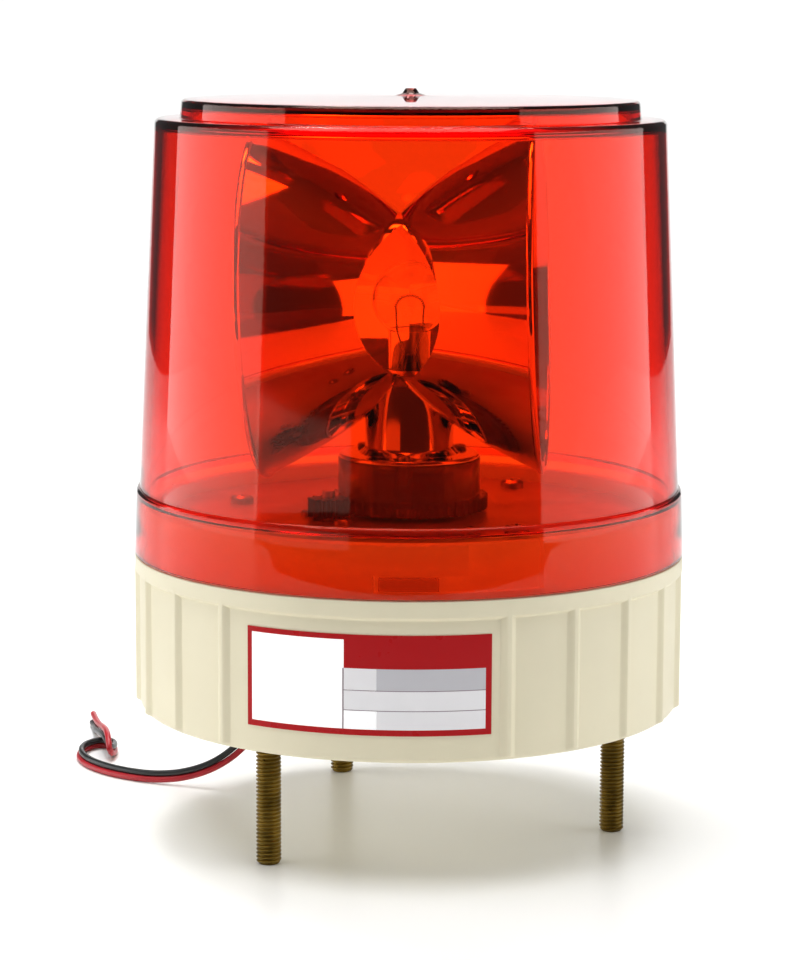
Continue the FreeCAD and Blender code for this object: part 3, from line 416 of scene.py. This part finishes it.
def build_base():
    r_wall, r_collar, r_rib = 88.4, 89.8, 89.9
    thetas = set()
    for i in range(360):
        thetas.add(round(math.radians(i), 6))
    for a in RIBS:
        for d in (-3.4, -2.9, -2.7, -2.6, -2.5, -2.3, -2.1, -1.8, -1.5, -1.2, -0.9, -0.7, -0.55, -0.4, 0.0,
                  0.4, 0.55, 0.7, 0.9, 1.2, 1.5, 1.8, 2.1, 2.3, 2.5, 2.6, 2.7, 2.9, 3.4):
            thetas.add(round((a + d / r_wall) % (2 * math.pi), 6))
    for k in range(3):
        a = 30.0 + 120 * k
        for e in (a - 7, a + 12, a + 28):
            for d in (-0.06, 0.06):
                thetas.add(round(math.radians(e + d) % (2 * math.pi), 6))
    th = sorted(thetas)
    keep = [th[0]]
    for t in th[1:]:
        if t - keep[-1] > 0.0009:
            keep.append(t)
    th = keep

    def rib(t, z):
        best = 99.0
        for a in RIBS:
            d = abs((t - a + math.pi) % (2 * math.pi) - math.pi) * r_wall
            best = min(best, d)
        side = 1.0 - min(1.0, max(0.0, (best - 0.55) / 2.05))
        side = side * side * (3 - 2 * side) * 0.5 + side * 0.5
        foot = smooth(41.9, 43.2, z)
        return side * foot * (r_rib - r_wall)

    def slot(t, z):
        deg = math.degrees(t) % 120.0
        rel = (deg - 30.0 + 60.0) % 120.0 - 60.0
        run = -7 <= rel <= 28 and 94.0 <= z <= 99.0
        entry = 12 <= rel <= 28 and z >= 94.0
        return run or entry

    prof = []          # (r, z, kind)
    prof += [(0.0, 41.5, ""), (30.0, 41.5, ""), (60.0, 41.5, ""), (84.5, 41.5, "")]
    for j in range(8):
        a = -math.pi / 2 + math.pi / 2 * (j / 7.0)
        prof.append((r_wall - 1.7 + 1.7 * math.cos(a), 43.2 + 1.7 * math.sin(a), "wall"))
    z = 43.6
    while z < 85.4:
        prof.append((r_wall, z, "wall"))
        z += 0.6 if z < 45 else (2.2 if z < 83 else 0.5)
    for j in range(9):
        t = j / 8.0
        zz = 85.5 + 1.5 * t
        prof.append((r_wall + (r_collar - r_wall) * smooth(85.6, 86.9, zz), zz, "lip"))
    prof += [(r_collar, 88.2, ""), (r_collar, 90.0, "")]
    for j in range(6):
        a = math.pi / 2 * (j / 5.0)
        prof.append((r_collar - 0.6 + 0.6 * math.cos(a), 91.4 + 0.6 * math.sin(a), ""))
    prof += [(87.6, 92.0, ""), (86.6, 92.0, ""), (86.4, 92.2, "neck"), (86.4, 93.9, "neck"), (86.4, 94.02, "neck"),
             (86.4, 96.5, "neck"), (86.4, 98.98, "neck"), (86.4, 99.1, "neck"), (86.4, 103.0, "neck"),
             (86.4, 107.9, "neck"), (86.2, 108.3, "neck"), (85.8, 108.5, "neck"), (82.0, 108.5, ""), (81.5, 108.1, ""),
             (81.5, 100.0, ""), (81.5, 90.6, ""), (85.2, 83.6, ""), (85.2, 60.0, ""), (85.2, 46.0, ""),
             (84.2, 45.0, ""), (50.0, 45.0, ""), (0.0, 45.0, "")]
    verts, rows, faces = [], [], []
    n = len(th)
    for r, z, kind in prof:
        if r < 1e-6:
            rows.append([len(verts)] * n)
            verts.append((0, 0, z * MM))
            continue
        rows.append(list(range(len(verts), len(verts) + n)))
        for t in th:
            rr = r
            if kind == "wall":
                rr = r + rib(t, z)
            elif kind == "lip":
                rr = max(r, r_wall + rib(t, z))
            elif kind == "neck" and slot(t, z):
                rr = 84.0 if r > 84.0 else r
            verts.append((rr * math.cos(t) * MM, rr * math.sin(t) * MM, z * MM))
    for i in range(len(rows) - 1):
        a, b = rows[i], rows[i + 1]
        for j in range(n):
            k = (j + 1) % n
            ring = []
            for q in (a[j], a[k], b[k], b[j]):
                if q not in ring:
                    ring.append(q)
            if len(ring) >= 3:
                faces.append(ring)
    # faces above 92.1 mm, the neck under the dome, take the brighter glowing ivory copy: painted light, not a second
    # plastic
    neck_glow_faces = [1 if (verts[q[0]][2] > 0.0921 and verts[q[2]][2] > 0.0921) else 0 for q in faces]
    parts = [(verts, faces)]
    for x, y in STUDS:      # the three feet and the pads inside
        parts.append(lathe_mesh(rounded([(4.1, 40.0, 0.3), (10.5, 40.0, 0.5), (10.9, 41.6, 0), (4.1, 41.6, 0)]), 72, (x, y)))
        parts.append(lathe_mesh(rounded([(4.1, 44.9, 0), (9.7, 44.9, 0), (9.5, 46.0, 0.4), (4.1, 46.0, 0.2)]), 48, (x, y)))
    for x, y in POSTS:
        parts.append(lathe_mesh(rounded([(1.95, 88.0, 0), (1.95, 102.5, 0), (5.0, 102.5, 0.3), (5.0, 44.9, 0), (0, 44.9, 0), (0, 88.0, 0)]), 48, (x, y)))
    v, f = join_parts(parts)
    make("base_shell", v, f, IVORY.m, "housing", ("base_housing",), 38.0,
         [IVORY.m, NECK_PAINTED_GLOW.m], neck_glow_faces + [0] * (len(f) - len(neck_glow_faces)))


build_base()


# ------------------------------------------------------------ label
def build_label():
    a0, a1, z0, z1 = -33.7, 16.6, 50.2, 81.3
    k = 180.0 / math.pi / 88.7
    bx = 1.65 * k
    az_split = -12.85
    # cell borders along the width and the height
    xs = [a0, a0 + bx, az_split - 0.14, az_split + 0.14, -6.2, a1 - bx * 1.15, a1]
    zs = [z0, z0 + 1.9, z0 + 1.9 + 5.7, z0 + 1.9 + 5.95, 64.0, 64.25, 70.9, z1 - 1.65, z1]

    def paint(x, z):
        if x < xs[1] or x > xs[5] or z < zs[1] or z > zs[7]:
            return 0
        if x > xs[3]:
            if z > zs[6]:
                return 0
            if zs[2] < z < zs[3] or zs[4] < z < zs[5]:
                return 4
            if z > zs[5]:
                return 2 if x > xs[4] else 3
            if z > zs[3]:
                return 3
            return 3 if x > xs[4] else 1
        if x > xs[2] and z < zs[6]:
            return 4
        return 1

    cols = set(xs)
    s = a0
    while s < a1:
        cols.add(round(s, 3))
        s += 0.75
    cols = sorted(cols)
    rows = sorted(set(zs + [55.0, 60.0, 67.5, 75.0]))
    n, m = len(cols), len(rows)
    verts, faces, idx = [], [], []

    def corner(i, j):
        # grid point of the film; its corners are left square
        return cols[i], rows[j]

    for side, r in ((0, 88.70), (1, 88.45)):
        for j in range(m):
            for i in range(n):
                a, z = corner(i, j)
                t = math.radians(-90 + a)
                verts.append((r * math.cos(t) * MM, r * math.sin(t) * MM, z * MM))
    for j in range(m - 1):
        for i in range(n - 1):
            q = [j * n + i, j * n + i + 1, (j + 1) * n + i + 1, (j + 1) * n + i]
            faces.append(q)
            idx.append(paint((cols[i] + cols[i + 1]) / 2, (rows[j] + rows[j + 1]) / 2))
            o = n * m
            faces.append([o + v for v in reversed(q)])
            idx.append(1)
    o = n * m
    for i in range(n - 1):
        for j, flip in ((0, False), (m - 1, True)):
            q = [j * n + i, o + j * n + i, o + j * n + i + 1, j * n + i + 1]
            faces.append(q if not flip else q[::-1])
            idx.append(0)
    for j in range(m - 1):
        for i, flip in ((0, True), (n - 1, False)):
            q = [j * n + i, o + j * n + i, o + (j + 1) * n + i, (j + 1) * n + i]
            faces.append(q if not flip else q[::-1])
            idx.append(0)
    make("label_film", verts, faces, None, "housing", ("rating_label",), 40.0,
         [L_RED.m, L_WHITE_PAINTED_GLOW.m, L_GREY_CELL.m, L_PALE.m, L_RULE.m], idx)


build_label()


# ------------------------------------------------------------ studs with threads
def stud_mesh(x, y, phase):
    pitch, r_maj, r_min = 1.25, 4.0, 3.32
    n = 40
    zs = []
    z = 0.0
    while z < 41.6:
        zs.append(z)
        z += pitch / 10.0
    verts, rows, faces = [], [], []
    verts.append((x * MM, y * MM, 0.0))
    rows.append([0] * n)
    for z in zs:
        rows.append(list(range(len(verts), len(verts) + n)))
        for i in range(n):
            t = 2 * math.pi * i / n
            u = ((z / pitch - t / (2 * math.pi) + phase) % 1.0)
            tri = 1 - abs(2 * u - 1)
            h = min(1.0, max(0.0, (tri - 0.12) / 0.72))
            r = r_min + (r_maj - r_min) * h
            if z < 1.0:
                r = min(r, 3.1 + 0.9 * z)
            verts.append(((x + r * math.cos(t)) * MM, (y + r * math.sin(t)) * MM, z * MM))
    top = len(verts)
    verts.append((x * MM, y * MM, zs[-1] * MM))
    rows.append([top] * n)
    for i in range(len(rows) - 1):
        a, b = rows[i], rows[i + 1]
        for j in range(n):
            k = (j + 1) % n
            ring = []
            for q in (a[j], a[k], b[k], b[j]):
                if q not in ring:
                    ring.append(q)
            if len(ring) >= 3:
                faces.append(ring)
    return verts, faces


def hex_mesh(x, y, af, z0, z1, turn):
    pts = []
    r = af / math.sqrt(3)
    verts, faces = [], []
    for z, k in ((z0, 1.0), (z1 - 0.5, 1.0), (z1, 0.93)):
        for i in range(6):
            t = math.radians(60 * i + turn)
            verts.append(((x + r * k * math.cos(t)) * MM, (y + r * k * math.sin(t)) * MM, z * MM))
    for lv in (0, 1):
        for i in range(6):
            j = (i + 1) % 6
            faces.append([lv * 6 + i, lv * 6 + j, lv * 6 + 6 + j, lv * 6 + 6 + i])
    faces.append([5, 4, 3, 2, 1, 0])
    faces.append([12, 13, 14, 15, 16, 17])
    return verts, faces


parts = []
for k, (x, y) in enumerate(STUDS):
    parts.append(stud_mesh(x, y, 0.3 * k))
    parts.append(lathe_mesh([(0, 41.4), (4.0, 41.4), (4.0, 46.1), (0, 46.1)], 40, (x, y)))
    parts.append(hex_mesh(x, y, 13.0, 46.0, 51.3, 15 * k))
v, f = join_parts(parts)
make("threaded_studs", v, f, STUD.m, "housing", ("mounting_studs",), 60.0)


# ------------------------------------------------------------ mirror
def horn_point(x, phi, extra, top):
    r = math.sqrt(4 * F * (abs(x) + F)) + extra
    y, z = r * math.sin(phi), r * math.cos(phi)
    return x, y, min(z, top)


def mirror_place():
    m = (Matrix.Rotation(math.radians(TURN), 4, "Z")
         @ Matrix.Translation((-OFFSET * MM, 0, FZ * MM))
         @ Matrix.Rotation(math.radians(-LEAN), 4, "Y"))
    return m


def grid_ring(rows_pts, n):
    """rows_pts: list of rows, each n points, closed round; the rows close on themselves too."""
    verts = [p for row in rows_pts for p in row]
    m = len(rows_pts)
    faces = []
    for i in range(m):
        a, b = i * n, ((i + 1) % m) * n
        for j in range(n):
            k = (j + 1) % n
            faces.append([a + j, a + k, b + k, b + j])
    return verts, faces


def boolean(ob, tool, op="DIFFERENCE"):
    md = ob.modifiers.new("cut", "BOOLEAN")
    md.operation = op
    md.solver = "EXACT"
    md.object = tool
    dg = bpy.context.evaluated_depsgraph_get()
    me = bpy.data.meshes.new_from_object(ob.evaluated_get(dg))
    ob.modifiers.clear()
    old = ob.data
    ob.data = me
    bpy.data.meshes.remove(old)
    bpy.data.objects.remove(tool)


def build_mirror():
    n = 144
    top_o, top_i = TOP_Z - FZ, TOP_Z - TK - FZ
    xs = []
    steps = 26
    for i in range(steps + 1):
        xs.append(HALF * (i / steps) ** 1.15)
    full = [-x for x in reversed(xs[1:])] + xs
    phis = [2 * math.pi * j / n for j in range(n)]
    rows = []
    for x in full:
        rows.append([horn_point(x, p, TK, top_o) for p in phis])
    for x in reversed(full):
        rows.append([horn_point(x, p, 0.0, top_i) for p in phis])
    v, f = grid_ring([[(a * MM, b * MM, c * MM) for a, b, c in row] for row in rows], n)
    ob = make("mirror_pair", v, f, CHROME.m, "rotor", ("reflector_left", "reflector_right"), 30.0)
    # the pointed window in the front of the waist
    hw, hh = 13.7, 25.2
    ar = (hh * hh + hw * hw) / (2 * hw)
    out = []
    k = 22
    for s in (1, -1):
        half = math.asin(hh / ar)
        for i in range(k):
            a = half - 2 * half * i / k
            out.append((s * (ar * math.cos(a) - (ar - hw)), s * ar * math.sin(a)))
    pv, pf = [], []
    for yy in (-90.0, 0.0):
        pv += [((x + WINDOW_SHIFT) * MM, yy * MM, z * MM) for x, z in out]
    m = len(out)
    for i in range(m):
        j = (i + 1) % m
        pf.append([i, j, m + j, m + i])
    pf.append(list(range(m))[::-1])
    pf.append(list(range(m, 2 * m)))
    me = bpy.data.meshes.new("lens")
    me.from_pydata(pv, [], pf)
    bm = bmesh.new()
    bm.from_mesh(me)
    bmesh.ops.recalc_face_normals(bm, faces=bm.faces)
    bm.to_mesh(me)
    bm.free()
    tool = link(bpy.data.objects.new("lens", me))
    boolean(ob, tool)
    # the opening for the lamp in the foot of the waist, in the mirror's own frame
    place = mirror_place()
    bore = lathe_mesh([(0, 100.0), (12.9, 100.0), (12.9, 158.0), (0, 158.0)], 96)
    me = bpy.data.meshes.new("bore")
    inv = place.inverted()
    me.from_pydata([tuple(inv @ Vector(p)) for p in bore[0]], [], bore[1])
    bm = bmesh.new()
    bm.from_mesh(me)
    bmesh.ops.recalc_face_normals(bm, faces=bm.faces)
    bm.to_mesh(me)
    bm.free()
    tool = link(bpy.data.objects.new("bore", me))
    boolean(ob, tool)
    ob.data.transform(place)
    mark_sharp(ob.data, 30.0)
    # rolled edge round each mouth
    r0 = math.sqrt(4 * F * (HALF + F))
    parts = []
    for s in (1, -1):
        ring = []
        for q in range(10):
            a = 2 * math.pi * q / 10
            ring.append((s * HALF - 0.15 * s + 1.05 * math.cos(a), r0 + 1.1 + 1.0 * math.sin(a)))
        rr = []
        for x, r in ring:
            row = []
            for p in phis:
                y, z = r * math.sin(p), r * math.cos(p)
                lim = TOP_Z - FZ + (r - r0 - 1.1) - 0.6
                row.append((x * MM, y * MM, min(z, lim) * MM))
            rr.append(row)
        parts.append(grid_ring(rr, n))
    v, f = join_parts(parts)
    rim = make("mirror_rims", v, f, CHROME.m, "rotor", (), 40.0)
    rim.data.transform(place)
    # neck and flange
    neck = rounded([(12.9, 122.8, 0), (22.9, 122.8, 0.2), (22.9, 124.2, 0.5), (16.6, 124.2, 1.0), (14.5, 126.0, 1.4),
                    (14.5, 140.0, 0), (14.5, 147.4, 0), (12.9, 147.4, 0)])
    v, f = lathe_mesh(neck, 128)
    make("mirror_neck", v, f, CHROME.m, "rotor", ("reflector_neck",), 40.0)
    return ob


build_mirror()


# ------------------------------------------------------------ drum with its gear
def gear_outline(teeth, module, shift, backlash, angle=25.0, add=0.8, ded=1.05):
    pa = math.radians(angle)
    rp = module * teeth / 2
    rb = rp * math.cos(pa)
    ra = rp + add * module
    rf = rp - ded * module
    inv = lambda x: math.tan(x) - x
    half = math.pi / (2 * teeth) - backlash / (2 * rp)
    start = max(rb, rf)
    flank = []
    for i in range(6):
        r = start + (ra - start) * i / 5
        a = math.acos(min(1.0, rb / r))
        flank.append((r, half + inv(pa) - inv(a)))
    pts = []
    for k in range(teeth):
        c0 = shift + 2 * math.pi * k / teeth
        if rf < start - 1e-6:
            pts.append((rf, c0 - flank[0][1]))
        pts += [(r, c0 - a) for r, a in flank]
        pts += [(r, c0 + a) for r, a in reversed(flank)]
        if rf < start - 1e-6:
            pts.append((rf, c0 + flank[0][1]))
    return pts


def gear_mesh(teeth, shift, z0, z1, at, r_bore, backlash=0.16):
    """Toothed ring: outline outside, round bore inside."""
    pts = gear_outline(teeth, 1.0, shift, backlash)
    m = len(pts)
    verts, faces = [], []
    for z in (z0, z1):
        for r, a in pts:
            verts.append(((at[0] + r * math.cos(a)) * MM, (at[1] + r * math.sin(a)) * MM, z * MM))
        for r, a in pts:
            verts.append(((at[0] + r_bore * math.cos(a)) * MM, (at[1] + r_bore * math.sin(a)) * MM, z * MM))
    for i in range(m):
        j = (i + 1) % m
        faces.append([i, j, 2 * m + j, 2 * m + i])
        faces.append([m + i, 3 * m + i, 3 * m + j, m + j])
        faces.append([i, m + i, m + j, j])
        faces.append([2 * m + i, 2 * m + j, 3 * m + j, 3 * m + i])
    return verts, faces


drum_prof = rounded([(12.0, 105.6, 0), (23.75, 105.6, 0), (23.75, 110.6, 0), (23.3, 110.6, 0.2), (23.3, 122.8, 0.4),
                     (21.3, 122.8, 0.4), (21.3, 108.0, 0.8), (15.0, 108.0, 0.8), (15.0, 118.0, 0.4), (12.0, 118.0, 0.2)])
v, f = join_parts([lathe_mesh(drum_prof, 160)])
make("drum_shell", v, f, SMOKE.m, "rotor", ("gear_hub",), 34.0)
v, f = gear_mesh(HUB_TEETH, MOTOR_A, 105.7, 110.5, (0, 0), 23.6)
make("drum_gear", v, f, SMOKE.m, "rotor", (), 25.0)
parts = []
for k in range(3):
    a = math.radians(30 + 120 * k + TURN)
    parts.append(lathe_mesh(rounded([(0, 108.1, 0), (3.0, 108.1, 0), (2.8, 122.7, 0.3), (0, 122.7, 0)]), 24,
                            (18.0 * math.cos(a), 18.0 * math.sin(a))))
v, f = join_parts(parts)
make("drum_bosses", v, f, SMOKE.m, "rotor", (), 34.0)


# ------------------------------------------------------------ lamp
def build_lamp():
    R, T = 12.4, 0.7
    a0 = math.asin(6.9 / R)
    out = [(R * math.sin(a0 + (math.pi - a0) * i / 26), FZ - R * math.cos(a0 + (math.pi - a0) * i / 26)) for i in range(27)]
    out[-1] = (0.0, FZ + R)
    b0 = math.asin(6.2 / (R - T))
    inn = [((R - T) * math.sin(b0 + (math.pi - b0) * i / 26), FZ - (R - T) * math.cos(b0 + (math.pi - b0) * i / 26)) for i in range(27)]
    inn[-1] = (0.0, FZ + R - T)
    prof = [(6.2, 150.3), (6.9, 150.3), (6.9, 154.0), (6.9, 160.0)] + out + list(reversed(inn)) + [(6.2, 160.0), (6.2, 154.0)]
    v, f = lathe_mesh(prof, 96)
    make("glass_envelope", v, f, GLASS.m, "lamp", ("bulb_glass",), 50.0)
    # stem, support wires and the coiled filament
    v, f = lathe_mesh(rounded([(0, 138.1, 0), (5.5, 138.1, 0), (5.0, 150.0, 2.0), (2.2, 156.5, 1.0), (0, 157.2, 0)]), 48)
    make("glass_stem", v, f, GLASS.m, "lamp", (), 50.0)

    def wire(name, pts, rad, body="lamp", slot="tungsten", mat=TUNGSTEN, replaces=(), n=8):
        verts, faces = [], []
        P = [Vector(p) for p in pts]
        up = Vector((0, 1, 0))
        for i, p in enumerate(P):
            d = (P[min(i + 1, len(P) - 1)] - P[max(i - 1, 0)]).normalized()
            s = d.cross(up)
            if s.length < 1e-3:
                s = d.cross(Vector((1, 0, 0)))
            s.normalize()
            w = s.cross(d).normalized()
            for j in range(n):
                t = 2 * math.pi * j / n
                q = p + s * rad * math.cos(t) + w * rad * math.sin(t)
                verts.append(tuple(c * MM for c in q))
        for i in range(len(P) - 1):
            for j in range(n):
                k = (j + 1) % n
                faces.append([i * n + j, i * n + k, (i + 1) * n + k, (i + 1) * n + j])
        faces.append(list(range(n))[::-1])
        o = (len(P) - 1) * n
        faces.append([o + j for j in range(n)])
        return verts, faces

    coil = []
    turns, steps = 16, 14
    for i in range(turns * steps + 1):
        u = i / (turns * steps)
        ang = math.pi * u
        a = 2 * math.pi * turns * u
        rad = 4.5 + 0.5 * math.cos(a)
        coil.append((rad * math.cos(ang), 0.5 * math.sin(a), FZ - 2.6 + rad * math.sin(ang) * 0.8))
    parts = [wire("c", coil, 0.13)]
    for s in (1, -1):
        parts.append(wire("s", [(4.8 * s, 0, FZ - 2.3), (4.5 * s, 0, FZ - 3.5), (4.2 * s, 0, 164.0), (2.0 * s, 0, 157.5), (1.6 * s, 0, 150.0)], 0.3))
    v, f = join_parts(parts)
    make("filament_coil", v, f, TUNGSTEN.m, "lamp", ("bulb_filament",), 50.0)


build_lamp()


# ------------------------------------------------------------ CAD nodes that keep their own shape
def dress(node, mat):
    ob = NODES[node]
    ob.data.materials.clear()
    ob.data.materials.append(mat.m)


for node, mat in (
    ("chassis_plate", PLATE), ("chassis_screws", STEEL), ("centre_post", WHITEPL), ("post_nut", STEEL),
    ("thrust_washer", STEEL), ("retaining_ring", STEEL), ("motor_body", STEEL), ("motor_screws", STEEL),
    ("lamp_socket", BRASS), ("socket_insulator", LAMINATE), ("socket_contact", BRASS), ("terminal_block", WHITEPL),
    ("terminal_screw", STEEL), ("cable_grommet", RUBBER), ("inner_leads", WIRE_RED), ("hub_bush", BRONZE),
    ("reflector_screws", STEEL), ("motor_pinion", DARKPL), ("motor_shaft", STEEL), ("bulb_cap", BRASS),
    ("bulb_contact", SOLDER),
):
    dress(node, mat)

# ------------------------------------------------------------ the twin lead
RED_PTS = [
    (-48.82, 38.0, 39.9), (-48.83, 38.0, 31.34), (-51.34, 38.1, 22.08), (-57.47, 38.6, 13.57),
    (-66.45, 39.44, 6.96), (-77.25, 41.22, 2.86), (-88.55, 44.46, 1.28), (-99.21, 49.87, 1.15),
    (-108.29, 57.53, 1.15), (-114.95, 67.02, 1.15), (-118.58, 77.74, 1.15), (-118.36, 88.1, 1.14),
    (-113.56, 95.29, 1.13), (-107.44, 93.73, 1.12), (-106.15, 86.91, 1.12), (-106.4, 79.4, 1.69),
    (-107.0, 73.9, 4.6), (-108.0, 79.8, 8.4), (-109.9, 90.2, 8.3), (-112.2, 101.8, 6.4), (-114.6, 113.3, 4.4),
    (-117.0, 124.15, 3.5), (-119.01, 134.04, 3.44)
]
BLACK_PTS = [
    (-51.18, 38.0, 39.9), (-51.17, 38.0, 31.66), (-53.46, 38.1, 23.12), (-59.13, 38.6, 15.23),
    (-67.55, 39.56, 8.84), (-77.75, 41.58, 4.94), (-88.45, 45.14, 3.34), (-98.79, 50.53, 3.17),
    (-107.71, 58.07, 3.17), (-114.25, 67.38, 3.17), (-117.82, 77.86, 3.17), (-117.64, 87.9, 3.18),
    (-113.24, 94.71, 3.19), (-107.76, 93.47, 3.22), (-106.25, 87.09, 3.4), (-106.4, 80.6, 4.1),
    (-107.3, 76.9, 5.5), (-108.6, 80.6, 6.4), (-110.6, 89.8, 6.2), (-113.5, 101.2, 4.6), (-115.9, 112.7, 2.6),
    (-117.6, 123.85, 1.3), (-118.9, 129.4, 1.26)
]


def lead(name, pts, mat, node):
    cu = bpy.data.curves.new(name, "CURVE")
    cu.dimensions = "3D"
    sp = cu.splines.new("NURBS")
    sp.points.add(len(pts) - 1)
    for p, q in zip(sp.points, pts):
        p.co = (q[0] * MM, q[1] * MM, q[2] * MM, 1.0)
    sp.order_u = 3
    sp.use_endpoint_u = True
    sp.resolution_u = 16
    cu.bevel_depth = 0.0011
    cu.bevel_resolution = 6
    cu.use_fill_caps = True
    cu.materials.append(mat.m)
    ob = link(bpy.data.objects.new(name, cu))
    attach(ob, "housing")
    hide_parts(node)


lead("red_wire", RED_PTS, WIRE_RED, "lead_red")
lead("black_wire", BLACK_PTS, WIRE_BLACK, "lead_black")


# ------------------------------------------------------------ stage and lights
def stage():
    """Pale floor, and behind it a narrow sweep that rises into the backdrop."""
    fl = Mat("floor_paper", (0.93, 0.93, 0.925, 1), 0.34, Specular_IOR_Level=0.25)

    def sheet(name, verts, faces):
        me = bpy.data.meshes.new(name)
        me.from_pydata(verts, [], faces)
        for p in me.polygons:
            p.use_smooth = True
        me.materials.append(fl.m)
        link(bpy.data.objects.new(name, me))

    rows = [(-0.55, 0.0, 2.6), (0.6, 0.0, 2.6), (1.2, 0.0, 1.3), (1.6, 0.0, 0.75)]
    for i in range(1, 17):
        a = math.pi / 2 * i / 16
        rows.append((1.6 + 0.8 * math.sin(a), 0.8 - 0.8 * math.cos(a), 0.75))
    rows.append((2.4, 2.4, 0.75))
    verts, faces = [], []
    for y, z, half in rows:
        verts += [(-half, y, z), (half, y, z)]
    for i in range(len(rows) - 1):
        faces.append([2 * i, 2 * i + 1, 2 * i + 3, 2 * i + 2])
    sheet("floor", verts, faces)


def area(name, loc, target, size, power, color=(1, 1, 1)):
    li = bpy.data.lights.new(name, "AREA")
    li.shape = "RECTANGLE"
    li.size, li.size_y = size
    li.energy = power
    li.color = color
    ob = link(bpy.data.objects.new(name, li))
    d = Vector(target) - Vector(loc)
    ob.location = loc
    ob.rotation_euler = d.to_track_quat("-Z", "Y").to_euler()
    return ob


stage()
area("softbox_left", (-1.2, 0.09, 0.30), (0, 0.09, 0.22), (1.38, 0.62), 6.0)
area("softbox_right", (1.2, -0.05, 0.30), (0, -0.05, 0.22), (1.62, 0.62), 6.4)
area("softbox_top", (-0.15, -0.30, 1.5), (-0.15, -0.25, 0.0), (1.7, 1.2), 24)
area("key_small", (-0.25, 0.35, 1.1), (0, 0.0, 0.17), (0.22, 0.18), 3.0)
area("backdrop_light", (0.0, 1.1, 2.3), (0, 2.3, 0.5), (1.6, 0.7), 40)
area("low_card", (-0.98, -1.00, 0.035), (0, 0, 0.11), (1.07, 0.10), 0.27)


def room():
    """Pale room behind and above the object, dark towards the front."""
    w = bpy.data.worlds.new("room")
    bpy.context.scene.world = w
    w.use_nodes = True
    nt = w.node_tree
    bg = nt.nodes["Background"]
    co = nt.nodes.new("ShaderNodeTexCoord")
    sp = nt.nodes.new("ShaderNodeSeparateXYZ")
    rp = nt.nodes.new("ShaderNodeValToRGB")
    mr = nt.nodes.new("ShaderNodeMapRange")
    mr.inputs["From Min"].default_value = -1.0
    mr.inputs["From Max"].default_value = 1.0
    nt.links.new(co.outputs["Generated"], sp.inputs[0])
    nt.links.new(sp.outputs["Y"], mr.inputs["Value"])
    nt.links.new(mr.outputs["Result"], rp.inputs["Fac"])
    els = rp.color_ramp.elements
    els[0].position, els[0].color = 0.12, (0.09, 0.09, 0.095, 1)
    els[1].position, els[1].color = 0.80, (0.11, 0.11, 0.115, 1)
    e = els.new(0.45)
    e.color = (0.30, 0.30, 0.31, 1)
    nt.links.new(rp.outputs["Color"], bg.inputs["Color"])
    bg.inputs["Strength"].default_value = 0.8


room()
bpy.context.scene.view_settings.view_transform = "Standard"
